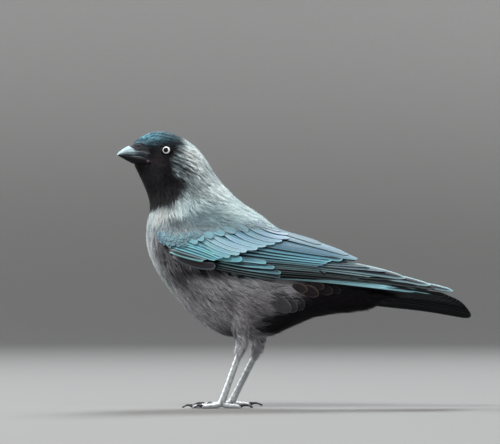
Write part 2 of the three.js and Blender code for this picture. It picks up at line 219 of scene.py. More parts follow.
class Shader:
    def __init__(self, name):
        self.material = bpy.data.materials.new(name)
        self.material.use_nodes = True
        self.tree = self.material.node_tree
        self.surface = self.tree.nodes["Principled BSDF"]

    def add(self, kind, settings=None, inputs=None, output=0):
        node = self.tree.nodes.new(kind)
        for key, value in (settings or {}).items():
            setattr(node, key, value)
        for key, value in (inputs or {}).items():
            self.feed(node.inputs[key], value)
        return Wire(self, node.outputs[output])

    def feed(self, socket, value):
        if isinstance(value, Wire):
            self.tree.links.new(value.socket, socket)
        elif isinstance(value, (tuple, np.ndarray)) and socket.type == "RGBA":
            socket.default_value = (*[float(v) for v in value[:3]], 1)
        else:
            socket.default_value = value

    def set(self, **values):  # sockets of the surface shader, by name with the spaces left out
        for socket in self.surface.inputs:
            key = socket.name.replace(" ", "")
            if key in values:
                self.feed(socket, values[key])

    def attribute(self, name, output="Fac"):
        return self.add("ShaderNodeAttribute", {"attribute_name": name}, output=output)

    def places(self):
        return self.add("ShaderNodeTexCoord", output="Object")

    def split(self, vector):
        first = self.add("ShaderNodeSeparateXYZ", {}, {0: vector})
        return [Wire(self, socket) for socket in first.socket.node.outputs]

    def stretched(self, vector, scale):
        return self.add("ShaderNodeVectorMath", {"operation": "MULTIPLY"}, {0: vector, 1: scale})

    def noise(self, vector, scale, detail=3, roughness=0.5):
        inputs = {"Vector": vector, "Scale": scale, "Detail": detail, "Roughness": roughness}
        return self.add("ShaderNodeTexNoise", {}, inputs, "Fac")

    def mix(self, factor, a, b, blend="MIX"):
        settings = {"data_type": "RGBA", "blend_type": blend}
        return self.add("ShaderNodeMix", settings, {0: factor, 6: a, 7: b}, 2)

    def bump(self, height, strength, distance):
        return self.add("ShaderNodeBump", {}, {"Height": height, "Strength": strength, "Distance": distance})


# How the barbs slant away from the shaft, how close they lie, and how drawn out the splits between them are.
barbLooks = {
    "tuft": {"slant": 2.2, "pitch": 9.0, "splits": (9, 1.1, 1)},
    "vane": {"slant": -5.0, "pitch": 7.0, "splits": (14, 0.35, 1)},
}


def barbsOf(shader, slant, pitch, splits):  # distance from the shaft, barbs, and splits between them
    vane = shader.add("ShaderNodeUVMap", {"uv_map": "vane"})
    across, along = shader.split(vane)[:2]
    fromShaft = (across - 0.5).size() * 2
    barbs = ((along + fromShaft * slant) * pitch).wave() * 0.5 + 0.5
    return fromShaft, barbs, shader.noise(shader.stretched(vane, splits), 1.0)


def tuftMaterial(name, roughness, barbDepth):
    shader = Shader(name)
    fromShaft, barbs, splits = barbsOf(shader, **barbLooks["tuft"])
    colour = shader.mix(barbs * 0.16, shader.attribute("tint", "Color"), (0.0, 0.0, 0.0))
    colour = shader.mix((splits - 0.5).over(0, 0.3) * 0.3, colour, (0.9, 1.0, 1.0), "OVERLAY")
    shader.set(BaseColor=colour, Roughness=roughness, Normal=shader.bump(barbs + splits, barbDepth, 0.0002))
    shader.set(SheenWeight=0.02, SheenRoughness=0.4, SpecularIORLevel=0.09)
    return shader.material


def vaneMaterial(name, rimStrength, roughness, lilac, shine):
    shader = Shader(name)
    rim = shader.attribute("rim")
    fromShaft, barbs, splits = barbsOf(shader, **barbLooks["vane"])
    cloud = shader.noise(shader.places(), 95)
    tint = shader.attribute("tint", "Color")
    # lilac clouds painted into the colour, standing for the feathers' iridescent sheen
    colour = shader.mix(cloud.over(0.42, 0.62) * lilac, tint, srgb(172, 166, 200), "SOFT_LIGHT")
    colour = shader.mix(barbs * 0.14, colour, (0.0, 0.0, 0.0))
    colour = shader.mix((splits - 0.5).over(0, 0.3) * 0.35, colour, (0.95, 1.0, 1.0), "SOFT_LIGHT")
    paleRim = rim.over(0.3, 0.7) * (1 - rim.over(0.82, 0.9))
    colour = shader.mix(paleRim * rimStrength * 0.15, colour, srgb(190, 214, 216))
    # a painted shadow line along each feather's edge, where the feather above shades the one below
    colour = shader.mix(rim.over(0.84, 0.94) * rimStrength, colour, (0.008, 0.011, 0.014))
    shaft = 1 - fromShaft.over(0.015, 0.06)
    colour = shader.mix(shaft * 0.5, colour, (0.02, 0.03, 0.035))
    relief = shader.bump(barbs * 0.6 + splits, 0.25, 0.0002)
    shader.set(BaseColor=colour, Roughness=roughness, Normal=relief, SpecularIORLevel=shine)
    return shader.material


# The stage: a floor that sweeps up into a round wall, the lights and the camera.
stage = {
    "grain": 0.82,              # millimetres of bird for each point of the view
    "viewWidth": 500,           # points
    "aim": (12.3, 0.0, 151.7),  # bird millimetres at the middle of the view
    "distance": 2.3,
    "lookUp": math.radians(1.6),
    "sensor": 36,
    "floorColour": (0.12, 0.119, 0.117),
    "wallColour": (0.3, 0.298, 0.294),
    "floorReach": 3.3,          # the flat part's radius
    "sweepRadius": 1.3,
    "wallHeight": 3.0,
    "sky": (0.75, 0.82, 0.9),
    "skyStrength": 0.3,
}
lights = {  # place, aim, width, power and colour
    "key": ((-0.8, -0.9, 2.2), (-0.03, 0, 0.12), 1.2, 78, (1.0, 0.98, 0.95)),
    "rim": ((0.4, 1.5, 2.1), (0, 0, 0.13), 0.9, 86, (0.93, 0.97, 1.0)),
    "front": ((-2.0, 0.5, 0.9), (-0.08, 0, 0.13), 0.7, 60, (0.95, 0.98, 1.0)),
    "fill": ((0.6, -2.0, 0.6), (0, 0, 0.1), 1.4, 7, (1.0, 0.97, 0.94)),
}
wallLights = {
    "count": 4,
    "power": 85,
    "width": 1.2,
    "ring": (2.6, 2.9),         # radius and height of the lights, and of the places that they shine on
    "aim": (4.4, 0.5),
}


def makeCamera():
    data = bpy.data.cameras.new("camera")
    data.sensor_width = stage["sensor"]
    data.lens = stage["sensor"] * stage["distance"] / (stage["viewWidth"] * stage["grain"] * mm)
    data.clip_start, data.clip_end = 0.05, 50
    camera = bpy.data.objects.new("camera", data)
    offset = Vector((0, -math.cos(stage["lookUp"]), -math.sin(stage["lookUp"]))) * stage["distance"]
    camera.location = Vector(toWorld(stage["aim"])) + offset
    camera.rotation_euler = (math.pi / 2 + stage["lookUp"], 0, 0)
    scene.collection.objects.link(camera)
    scene.camera = camera


def makeLight(name, place, aim, width, power, colour):
    data = bpy.data.lights.new(name, "AREA")
    data.shape, data.size, data.energy, data.color = "DISK", width, power, colour
    light = bpy.data.objects.new(name, data)
    light.location = place
    light.rotation_euler = (Vector(aim) - Vector(place)).to_track_quat("-Z", "Y").to_euler()
    scene.collection.objects.link(light)


def makeLights():
    for name, values in lights.items():
        makeLight(name, *values)
    wall = wallLights
    for k in range(wall["count"]):
        angle = 2 * math.pi * (k + 0.5) / wall["count"]
        place, aim = ((r * math.cos(angle), r * math.sin(angle), z) for r, z in (wall["ring"], wall["aim"]))
        makeLight(f"wall{k}", place, aim, wall["width"], wall["power"], (1, 1, 1))
    world = bpy.data.worlds.new("studio")
    world.use_nodes = True
    sky = world.node_tree.nodes["Background"].inputs
    sky["Color"].default_value = (*stage["sky"], 1)
    sky["Strength"].default_value = stage["skyStrength"]
    scene.world = world
    scene.view_settings.view_transform = "Standard"


def spinProfile(bm, profile, steps):  # turns a line of (x, z) points about the upright axis
    line = [bm.verts.new((x, 0, z)) for x, z in profile]
    edges = [bm.edges.new(pair) for pair in zip(line, line[1:])]
    whole = {"cent": (0, 0, 0), "axis": (0, 0, 1), "angle": 2 * math.pi}
    bmesh.ops.spin(bm, geom=line + edges, steps=steps, use_merge=True, **whole)


def paperMaterial():
    shader = Shader("paper")
    place = shader.places()
    height = shader.split(place)[2]
    colour = shader.mix(height.over(0, 1.0), stage["floorColour"], stage["wallColour"])
    grain = shader.noise(place, 90, 4)
    shader.set(BaseColor=shader.mix(grain * 0.06, colour, (0.05, 0.05, 0.05)), Roughness=0.85)
    return shader.material


def makeFloor():
    bm = bmesh.new()
    reach, radius = stage["floorReach"], stage["sweepRadius"]
    angles = np.linspace(0.1, math.pi / 2, 14)
    sweep = [(reach + radius * math.sin(a), radius * (1 - math.cos(a))) for a in angles]
    spinProfile(bm, [(0, 0), (reach, 0), *sweep, (reach + radius, stage["wallHeight"])], 96)
    bmesh.ops.remove_doubles(bm, verts=bm.verts, dist=1e-5)
    bmesh.ops.recalc_face_normals(bm, faces=bm.faces[:])
    bmesh.ops.reverse_faces(bm, faces=bm.faces[:])
    floor = newObject("floor", bm)
    floor.data.materials.append(paperMaterial())


makeCamera()
makeFloor()
makeLights()
print("stage: camera, floor and light")


# The bird's form, from the frame's bodies.
form = {
    "fleshNodes": ["head", "neck", "trunk", "rump", "thigh_left", "thigh_right"],
    "billNodes": ["bill_upper", "bill_lower"],
    "voxel": 1.1,
    "rounds": 10,               # smoothing after the remesh
    "wingEnd": 96.0,            # the wings are part of the form as far as this x
}
wingNodes = [f"wing_{side}_{layer}" for side in sides for layer in ("coverts", "secondaries", "primaries")]
limbNodes = [f"tarsus_{side}" for side in sides] + [f"toe_{side}_{toe}" for side in sides for toe in toeNames]


def copyOfNodes(names, cutAt=None):  # merged copies, cut off beyond an x and closed there
    bm = bmesh.new()
    for name in names:
        bm.from_mesh(nodes[name].data)
    bmesh.ops.remove_doubles(bm, verts=bm.verts, dist=1e-6)
    if cutAt is not None:
        geom = list(bm.verts) + list(bm.edges) + list(bm.faces)
        plane = Vector(toWorld((cutAt, 0, 0)))
        bmesh.ops.bisect_plane(bm, geom=geom, plane_co=plane, plane_no=(1, 0, 0), clear_outer=True)
        bmesh.ops.holes_fill(bm, edges=[e for e in bm.edges if e.is_boundary], sides=0)
    return bm


def evaluated(target):  # a new mesh with the object's modifiers worked in
    bpy.context.view_layer.update()
    return bpy.data.meshes.new_from_object(target.evaluated_get(bpy.context.evaluated_depsgraph_get()))


def smoothed(bm, rounds):
    axes = {"use_axis_x": True, "use_axis_y": True, "use_axis_z": True}
    for k in range(rounds):
        bmesh.ops.smooth_vert(bm, verts=bm.verts, factor=0.5, **axes)
    return bm


def remeshed(name, bms, voxel, rounds):
    whole = bmesh.new()
    for bm in bms:
        part = bpy.data.meshes.new("part")
        bm.to_mesh(part)
        bm.free()
        whole.from_mesh(part)
        bpy.data.meshes.remove(part)
    lump = newObject(name, whole)
    remesh = lump.modifiers.new("remesh", "REMESH")
    remesh.mode, remesh.voxel_size = "VOXEL", voxel * mm
    mesh = evaluated(lump)
    bpy.data.objects.remove(lump)
    made = bmesh.new()
    made.from_mesh(mesh)
    bpy.data.meshes.remove(mesh)
    return smoothed(made, rounds)


# Towards the bill the face is this share of its body's width: x, share.
faceWidth = curveThrough([
    (-92, 0.5), (-84, 0.49), (-80, 0.47), (-76, 0.49), (-74, 0.53), (-72, 0.59), (-70, 0.68), (-68, 0.79),
    (-66, 0.89), (-64, 0.97), (-62, 1),
])
faceHeights = {"chin": (178, 194), "brow": (213, 223), "browKept": 0.5}


def slimFace(bm):
    p = straightened(placesOf(bm.verts))
    share = smoothStep(p[:, 2], *faceHeights["chin"])
    share = share * (1 - faceHeights["browKept"] * smoothStep(p[:, 2], *faceHeights["brow"]))
    p[:, 1] *= 1 - share * (1 - faceWidth(p[:, 0]))
    movePoints(bm, toWorld(turnHead(p)))
    return bm


class Surface:  # nearest places and smooth normals on a mesh
    def __init__(self, bm):
        normals = normalsOf(bm)
        bm.verts.ensure_lookup_table()
        bm.faces.ensure_lookup_table()
        self.tree = BVHTree.FromBMesh(bm)
        self.places = placesOf(bm.verts)
        self.faces = [[v.index for v in f.verts] for f in bm.faces]
        self.faceNormals = np.array([normals[f].mean(0) for f in self.faces])
        self.faceMiddles = np.array([self.places[f].mean(0) for f in self.faces])
        self.faceAreas = np.array([f.calc_area() for f in bm.faces])

    def nearest(self, points):  # places and normals
        found = [self.tree.find_nearest(Vector(p)) for p in points]
        return np.array([f[0] for f in found]), unit(self.faceNormals[[f[2] for f in found]])


def makeForm():
    whole = form["fleshNodes"] + form["billNodes"] + [f"eye_{side}" for side in sides]
    parts = [copyOfNodes([name]) for name in whole]
    parts += [copyOfNodes([name], form["wingEnd"]) for name in wingNodes]
    parts += [copyOfNodes(["tail"])]
    return Surface(slimFace(remeshed("form", parts, form["voxel"], form["rounds"])))


outer = makeForm()
print("form:", len(outer.places), "points")


# The lie, size and colour of the coat.

# Guides over the bird's side view: place (x, z), the way the feathers lie (x, z), their length and
# half width, the space between them and the coat's depth, all in millimetres.
coatGuides = {
    "bristleBase": ((-82, 212), (1, 0.2), 3.2, 0.7, 1.0, 0.9),
    "lores": ((-71, 209), (1, -0.1), 3.6, 0.8, 1.0, 1.0),
    "forehead": ((-76, 220), (1, 0.5), 3.8, 0.9, 1.1, 1.0),
    "crown": ((-61, 226), (1, 0.0), 4.6, 1.0, 1.25, 1.2),
    "hindCrown": ((-44, 220), (0.85, -0.5), 5.5, 1.1, 1.4, 1.4),
    "eye": ((-60, 211), (1, -0.1), 3.2, 0.7, 0.95, 0.9),
    "earCoverts": ((-48, 204), (0.9, -0.4), 6.5, 1.0, 1.4, 1.4),
    "cheek": ((-62, 196), (0.7, -0.7), 5.0, 0.9, 1.25, 1.3),
    "chin": ((-80, 196), (0.4, -0.9), 4.2, 0.8, 1.15, 1.1),
    "throat": ((-72, 180), (0.25, -0.97), 6.5, 0.9, 1.4, 1.3),
    "bib": ((-62, 168), (0.35, -0.94), 8.0, 1.0, 1.6, 1.6),
    "neckSide": ((-42, 184), (0.6, -0.8), 9.5, 1.0, 1.6, 1.8),
    "nape": ((-25, 203), (0.6, -0.8), 9.0, 1.0, 1.5, 1.5),
    "napeLow": ((-12, 182), (0.62, -0.78), 11.0, 1.3, 1.8, 2.0),
    "collar": ((-45, 160), (0.5, -0.86), 9.5, 1.4, 1.8, 1.6),
    "collarFront": ((-70, 156), (0.2, -0.98), 8.0, 1.2, 1.7, 1.4),
    "mantle": ((-15, 161), (0.85, -0.5), 11.5, 2.2, 2.4, 2.0),
    "back": ((14, 158), (0.88, -0.47), 12.0, 2.4, 2.6, 2.0),
    "backLow": ((45, 140), (0.9, -0.4), 12.0, 2.4, 2.7, 2.0),
    "breast": ((-70, 132), (0.25, -0.97), 9.5, 1.7, 2.1, 2.0),
    "breastSide": ((-54, 118), (0.55, -0.84), 10.0, 1.8, 2.2, 2.2),
    "breastLow": ((-50, 95), (0.6, -0.8), 10.5, 1.9, 2.3, 2.4),
    "belly": ((-24, 84), (0.78, -0.6), 11.0, 2.0, 2.4, 2.6),
    "bellyLow": ((-4, 62), (0.7, -0.7), 11.5, 1.9, 2.3, 2.6),
    "flank": ((10, 92), (0.9, -0.42), 11.5, 2.0, 2.4, 2.6),
    "flankEnd": ((40, 92), (0.95, -0.3), 13.5, 2.6, 2.8, 3.6),
    "vent": ((30, 66), (0.95, 0.15), 12.0, 2.6, 2.8, 3.2),
    "underTail": ((75, 76), (0.98, 0.18), 13.0, 3.0, 3.2, 2.4),
    "upperTail": ((95, 112), (0.93, -0.35), 13.0, 3.2, 3.4, 2.0),
    "thigh": ((4, 52), (0.4, -0.92), 8.5, 1.7, 1.6, 1.5),
}
guidePlaces = np.array([guide[0] for guide in coatGuides.values()], float)
guideFlows = unit(np.array([guide[1] for guide in coatGuides.values()], float))
guideSizes = np.array([guide[2:] for guide in coatGuides.values()], float)
guideScale = (1, 0.8, 0.74, 1)  # the shares at which lengths, half widths, spaces and depths are taken
guideReach = 9.0


def coatAt(points):  # flow (x, z) and sizes at points of the straight bird
    gap = np.linalg.norm(points[:, None, [0, 2]] - guidePlaces[None], axis=2)
    weight = 1 / (gap ** 2 + guideReach) ** 2
    weight /= weight.sum(1, keepdims=True)
    return unit(weight @ guideFlows), weight @ (guideSizes * guideScale)


plumage = {
    "black": srgb(15, 13, 17),
    # capGloss: painted teal sheen on the black crown
    "capGloss": srgb(116, 172, 192),
    "faceGrey": srgb(74, 70, 74),
    "silver": srgb(168, 186, 190),
    "collar": srgb(184, 192, 191),
    "mantle": srgb(115, 138, 144),
    # back: painted highlight along the top of the back
    "back": srgb(194, 214, 216),
    # breastFront: the breast's own silver, painted paler as the rim light on its front edge
    "breastFront": srgb(214, 223, 224),
    "belly": srgb(170, 168, 173),
    "vent": srgb(27, 24, 28),
    "rump": srgb(58, 66, 74),
}

# Soft spots over the markings, some of them painted shade and painted light as noted: middle (x, z), reach
# along and up, colour and strength.
spots = {
    # ear, earLow and neckSide are the grey of the head's and neck's sides, painted darker as the shade on
    # sides that face away from the top light
    "ear": ((-50, 197), (7.5, 9), (49, 54, 62), 0.92),
    "earLow": ((-43, 190), (8, 8), (64, 69, 76), 0.85),
    "behindEye": ((-46, 209), (4, 4.5), (84, 92, 99), 0.75),
    "neckSide": ((-36, 180), (12, 9), (68, 75, 81), 0.8),
    # nape and napeLow are the silver nape, painted paler as the light falling on its top
    "nape": ((-30, 204), (10, 14), (226, 236, 237), 0.95),
    "napeLow": ((-14, 182), (15, 11), (214, 226, 227), 0.8),
    # painted shade under the mantle's edge
    "shoulder": ((-49, 151), (11, 4.5), (64, 68, 74), 0.82),
    "breastSide": ((-59, 126), (13, 15), (62, 59, 63), 0.9),
    "breastLow": ((-47, 106), (13, 14), (40, 37, 41), 0.88),
    # painted shadow under the folded wing's lower edge
    "underWing": ((2, 109.5), (38, 3.2), (26, 24, 28), 0.88),
    "collarFoot": ((-55, 164), (7, 4.5), (80, 84, 90), 0.75),
    # painted highlight along the top of the nasal bristles, and above it a painted shadow line
    "fringe": ((-79, 216.2), (7, 1.3), (130, 168, 184), 0.85),
    "browLine": ((-76, 218.4), (8, 0.7), (8, 8, 10), 0.6),
    # painted light on the belly's top, lifting the wing's shadow there
    "bellyTop": ((6, 100), (24, 7), (206, 207, 211), 0.8),
    "bellyMiddle": ((-6, 88), (11, 8), (116, 114, 119), 0.7),
    "bellyLow": ((-4, 61), (12, 7), (48, 45, 48), 0.82),
    "bellyBack": ((18, 78), (14, 10), (74, 71, 76), 0.55),
    "bellyFront": ((-51, 88), (7, 9), (214, 210, 208), 0.6),
    # napeTop: the silver nape's top edge, painted paler as rim light
    "napeTop": ((-41, 208), (4.5, 8), (226, 236, 237), 0.8),
    # painted shadows under the alula and under the bend of the wing
    "underAlula": ((-34, 111), (14, 4.6), (24, 22, 25), 0.92),
    "armpit": ((-8, 111), (15, 4.6), (20, 18, 21), 0.93),
    "flank": ((38, 86), (8, 8), (58, 55, 60), 0.8),
    "thigh": ((2, 50), (7, 6), (176, 178, 181), 0.8),
}

# Edges of the markings in the straight bird's side view.
blackEdge = curveThrough([  # z, x: black lies ahead of it
    (157.5, -81), (160.7, -68), (163.6, -59.5), (168.3, -50.3), (176.3, -45.8), (184.5, -43.4),
    (187.8, -51.4), (193, -55), (201.7, -54.8), (206, -51.2), (211.6, -47.6), (217.3, -45.6),
    (221.4, -43.4), (227, -38),
])
collarEdge = curveThrough([  # x, z: the silver collar lies above it
    (-80, 146), (-72, 149), (-61.5, 148), (-49, 154), (-37, 159), (-24.6, 165.5), (-16.4, 170), (0, 180),
])
backHighlightEdge = curveThrough([  # x, z: a painted highlight along the top of the back lies above it
    (-30, 168), (-20, 164), (-5, 157.5), (8, 153.5), (20, 150.5), (36, 146), (60, 140),
])
ventEdge = curveThrough([  # z, x: the black vent lies behind it
    (50, 30), (58, 27), (62, 17.5), (66.4, 17.5), (71.3, 21.5), (78, 34), (87.7, 48), (96, 51), (110, 58),
])

# Soft borders across the side view: an x or a z, and how soft it is.
borders = {
    "backFront": (-16, 4),
    "breastTop": (142, 4),
    "breastBack": (-20, 8),
    "bellyTop": (112, 4),
    "frontBack": (-44, 6),
    "frontFoot": (100, 9),
    "rumpFront": (62, 5),
    "rumpFoot": (96, 5),
    "ventTop": (112, 3),
    "blackFoot": (157, 1.5),
    "glossFoot": (217, 2.0),
}
# Smaller marks: middle (x, z), reach and strength.
marks = {
    "collarSide": (-57, 157, 10, 1),
    "collarFront": (-68, 152, 8, 0.7),
    "earLines": (-46, 200, 12, 1.5),
    "neckLines": (-28, 186, 24, 1.4),
    # the gloss marks place the painted teal sheen on the black crown and bristles
    "foreheadGloss": (-72, 220, 10, 1.2),
    "crownGloss": (-54, 226, 9, 0.5),
    "bristleGloss": (-77, 218, 5, 0.8),
    "face": (-69, 201, 7, 0.4),
}
lineDepths = {"ear": 0.8, "neck": 0.38}
mottling = {"coarse": (14, 0.10, 5), "fine": (5, 0.06, 6)}  # size, strength and seed
breastWidth = 12.5


def plumageColour(world):  # the bird's markings, the same for skin and coat
    p = straightened(world)
    x, side, z = p[:, 0], np.abs(p[:, 1]), p[:, 2]
    wander = waves(p, 9, 3) * 1.3 + waves(p, 4, 4) * 0.6

    def above(value, soft):
        return 1 / (1 + np.exp(-np.clip(value / soft, -30, 30)))

    def past(value, name):  # 1 beyond a border, 0 before it
        place, soft = borders[name]
        return above(value - place, soft)

    def mark(name):
        cx, cz, reach, strength = marks[name]
        return strength * np.exp(-((x - cx) ** 2 + (z - cz) ** 2) / reach ** 2)

    def far(middle, reach):
        return ((x - middle[0]) / reach[0]) ** 2 + ((z - middle[1]) / reach[1]) ** 2

    colour = np.tile(plumage["silver"], (len(p), 1))
    mantle = above(collarEdge(x) - z + wander, 1.6)
    colour = blend(colour, plumage["mantle"], mantle)
    # painted highlight along the top of the back
    colour = blend(colour, plumage["back"], above(z - backHighlightEdge(x) + wander, 2.5) * past(x, "backFront"))
    collar = (mark("collarSide") + mark("collarFront")) * (1 - mantle)
    colour = blend(colour, plumage["collar"], collar)
    under = (1 - past(z - wander, "breastTop")) * (1 - past(x, "breastBack"))
    under = under + 1 - past(z - 0.12 * x - wander, "bellyTop")
    colour = blend(colour, plumage["belly"], np.clip(under, 0, 1))
    for middle, reach, shade, strength in spots.values():
        soft = np.exp(-far(middle, reach) + 0.15 * wander)
        colour = blend(colour, srgb(*shade), np.minimum(strength * soft, strength))
    lines = np.sin(((z - 197) * 0.9 + (x + 48) * 0.4) * 1.9 + 1.3 * waves(p, 9, 12))
    ear = np.clip(mark("earLines"), 0, 1)
    colour = colour * (1 + lineDepths["ear"] * lines * ear)[:, None]
    lengthwise = np.stack([0.8 * x + 0.6 * z, side * 0.4, 0.12 * (0.6 * x - 0.8 * z)], 1)
    neck = waves(lengthwise, 1.5, 31) * np.clip(mark("neckLines"), 0, 1) * (1 - mantle)
    colour = colour * (1 + lineDepths["neck"] * neck)[:, None]
    # the breast's own silver front, painted paler as the rim light along its front edge
    front = np.exp(-(side / breastWidth) ** 2) * (1 - past(x, "frontBack")) * past(z, "frontFoot")
    colour = blend(colour, plumage["breastFront"], front * (1 - above(z - collarEdge(x), 3)))
    colour = blend(colour, plumage["rump"], past(x, "rumpFront") * past(z, "rumpFoot"))
    vent = above(x - ventEdge(z) + wander, 2.0) * (1 - past(z, "ventTop"))
    colour = blend(colour, plumage["vent"], vent)
    black = above(blackEdge(z) - x + wander * 1.2, 1.1) * past(z, "blackFoot")
    colour = blend(colour, plumage["black"], black)
    # painted sheen: the crown's teal gloss laid into its colour
    gloss = mark("foreheadGloss") + mark("crownGloss") + mark("bristleGloss")
    gloss = gloss * past(z, "glossFoot") * smoothStep(x, -86, -79)
    gloss = gloss * (0.55 + 0.45 * waves(p * (0.35, 1, 1.2), 2.6, 8))
    colour = blend(colour, plumage["capGloss"], np.clip(gloss, 0, 1) * black)
    colour = blend(colour, plumage["faceGrey"], mark("face") * black)
    # the painted highlight and shadow line over the bristles lie over the black too
    for name in ("fringe", "browLine"):  # these lie over the black too
        middle, reach, shade, strength = spots[name]
        colour = blend(colour, srgb(*shade), strength * np.exp(-far(middle, reach)))
    mottle = 1 + sum(depth * waves(p, size, seed) for size, depth, seed in mottling.values())
    return np.clip(colour * mottle[:, None], 0.004, 1)


# One skin covers the flesh, the shanks and the toes.
skinSizes = {
    "underCoat": 1.0,           # how far below the flesh the skin lies, as a share of the coat's depth
    "under": 0.9,               # the least it lies below the form, as a share of the same
    "rounds": 3,
    "keep": 0.55,               # share of faces kept on the body
    "shade": 0.55,
    "roughness": (0.75, 0.42),  # under the coat and on the legs
    "coarse": 420,
    "pores": 2600,
}
thinCoat = {"from": 95, "to": 118, "share": 0.6}  # towards the tail the coat lies flatter


def depthAt(points):
    p = straightened(points)
    thin = thinCoat["share"] * smoothStep(p[:, 0], thinCoat["from"], thinCoat["to"])
    return coatAt(p)[1][:, 3] * (1 - thin)


def lineOf(name, near):  # the two ends of a slender node, the first one nearest to a place
    co = placesOf(nodes[name].data.vertices)
    middle = co.mean(0)
    way = np.linalg.svd(co - middle, full_matrices=False)[2][0]
    reach = (co - middle) @ way
    ends = [middle + way * reach.min(), middle + way * reach.max()]
    ends.sort(key=lambda e: np.linalg.norm(e - near))
    return np.array(ends)


def shankOf(side):  # the upper and the lower end of a shank
    low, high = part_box(f"tarsus_{side}")
    return lineOf(f"tarsus_{side}", np.array([(low.x + high.x) / 2, (low.y + high.y) / 2, high.z]))


legs = {
    "voxel": 0.34,
    "rounds": 5,
    "swell": 0.12,              # the smoothed legs are pushed out by this
    # the colour paints the black shanks and toes pale, as the highlight on their gloss; the groove colour is
    # painted shade in the grooves between plates and on the backs of the bones
    "colour": (200, 206, 209),
    "groove": (62, 63, 68),
    "grooveStrength": 0.5,
}
plates = {  # horny plates on each bone: their number, height and the way they face
    "shank": (10, 0.16, (-1, 0, 0.15)),
    "middle": (9, 0.14, (0, 0, 1)),
    "inner": (6, 0.14, (0, 0, 1)),
    "outer": (7, 0.14, (0, 0, 1)),
    "hind": (6, 0.14, (0, 0, 1)),
}


def plated(co, normal, ends, count, height, face):  # gap from a bone, rise of its plates, and painted shade in its grooves and on its back
    way = ends[1] - ends[0]
    t = np.clip((co - ends[0]) @ way / (way @ way), 0, 1)
    gap = np.linalg.norm(co - (ends[0] + t[:, None] * way), axis=1)
    saw = (t * count) % 1
    plate = saw ** 0.7 * smoothStep(saw, 1.0, 0.86)
    towards = normal @ unit(np.array(face))
    facing, back = smoothStep(towards, -0.1, 0.5), smoothStep(towards, 0.1, -0.6)
    beads = 0.35 * np.sin(t * count * 4 * math.pi) * back
    return gap, height * (plate * facing + beads * 0.5), 1 - plate * facing - 0.4 * back


def makeLegs():
    limbs = remeshed("legs", [copyOfNodes([name]) for name in limbNodes], legs["voxel"], legs["rounds"])
    normal, co = normalsOf(limbs), placesOf(limbs.verts)
    bones = []
    for side in sides:
        shank = shankOf(side)
        bones.append(plated(co, normal, shank, *plates["shank"]))
        bones += [plated(co, normal, lineOf(f"toe_{side}_{toe}", shank[1]), *plates[toe]) for toe in toeNames]
    gap, rise, groove = (np.array(values) for values in zip(*bones))
    nearest = gap.argmin(0), np.arange(len(co))
    moved = co + normal * ((rise[nearest] + legs["swell"]) * mm)[:, None]
    moved[:, 2] = np.maximum(moved[:, 2], 0)
    movePoints(limbs, moved)
    made = newObject("legs", limbs)
    shade = np.clip(groove[nearest], 0, 1) * legs["grooveStrength"]
    plain = np.tile(srgb(*legs["colour"]), (len(co), 1))
    giveColour(made.data, "tint", blend(plain, srgb(*legs["groove"]), shade))
    giveValue(made.data, "bare", np.ones(len(co)))
    return made


def skinMaterial():
    shader = Shader("skin")
    place = shader.places()
    pores = shader.noise(place, skinSizes["pores"], 3, 0.6)
    patches = shader.noise(place, skinSizes["coarse"])
    tint = shader.attribute("tint", "Color")
    colour = shader.mix(patches.over(0.35, 0.7) * 0.35, tint, (0.02, 0.02, 0.022))
    colour = shader.mix(pores.over(0.55, 0.8) * 0.2, colour, (0.5, 0.52, 0.55))
    covered, bare = skinSizes["roughness"]
    roughness = covered - shader.attribute("bare") * (covered - bare)
    shader.set(BaseColor=colour, Roughness=roughness, Normal=shader.bump(pores, 0.3, 0.0002))
    return shader.material


def decimated(target, ratio):
    modifier = target.modifiers.new("thin", "DECIMATE")
    modifier.ratio = ratio
    mesh = evaluated(target)
    target.modifiers.clear()
    old, target.data = target.data, mesh
    bpy.data.meshes.remove(old)
    mesh.shade_smooth()


def makeSkin():
    flesh = [copyOfNodes([name]) for name in form["fleshNodes"]]
    flesh = slimFace(remeshed("flesh", flesh, form["voxel"], form["rounds"]))
    normals, places = normalsOf(flesh), placesOf(flesh.verts)
    movePoints(flesh, places - normals * (depthAt(places) * skinSizes["underCoat"] * mm)[:, None])
    places = placesOf(smoothed(flesh, skinSizes["rounds"]).verts)
    near, normal = outer.nearest(places)
    over = ((places - near) * normal).sum(1) + depthAt(places) * skinSizes["under"] * mm
    movePoints(flesh, places - normal * np.maximum(over, 0)[:, None])
    skin = newObject("skin", flesh)
    decimated(skin, skinSizes["keep"])
    co = placesOf(skin.data.vertices)
    giveColour(skin.data, "tint", plumageColour(co) * skinSizes["shade"])
    giveValue(skin.data, "bare", np.zeros(len(co)))
    bare = makeLegs()
    bpy.ops.object.select_all(action="DESELECT")
    bare.select_set(True)
    skin.select_set(True)
    bpy.context.view_layer.objects.active = skin
    bpy.ops.object.join()
    wearPiece(skin, skinMaterial(), form["fleshNodes"] + limbNodes)
    print("skin:", len(skin.data.polygons), "faces")


makeSkin()


# Feathers are joined meshes, filled from arrays, because there are thousands of them.
bake = {
    "patch": 0.003,             # how much of the map each small feather takes
    "margin": 0.02,
    "spine": [(-88, 206), (-62, 203), (-46, 182), (-28, 150), (0, 118), (50, 98), (112, 87)],
}


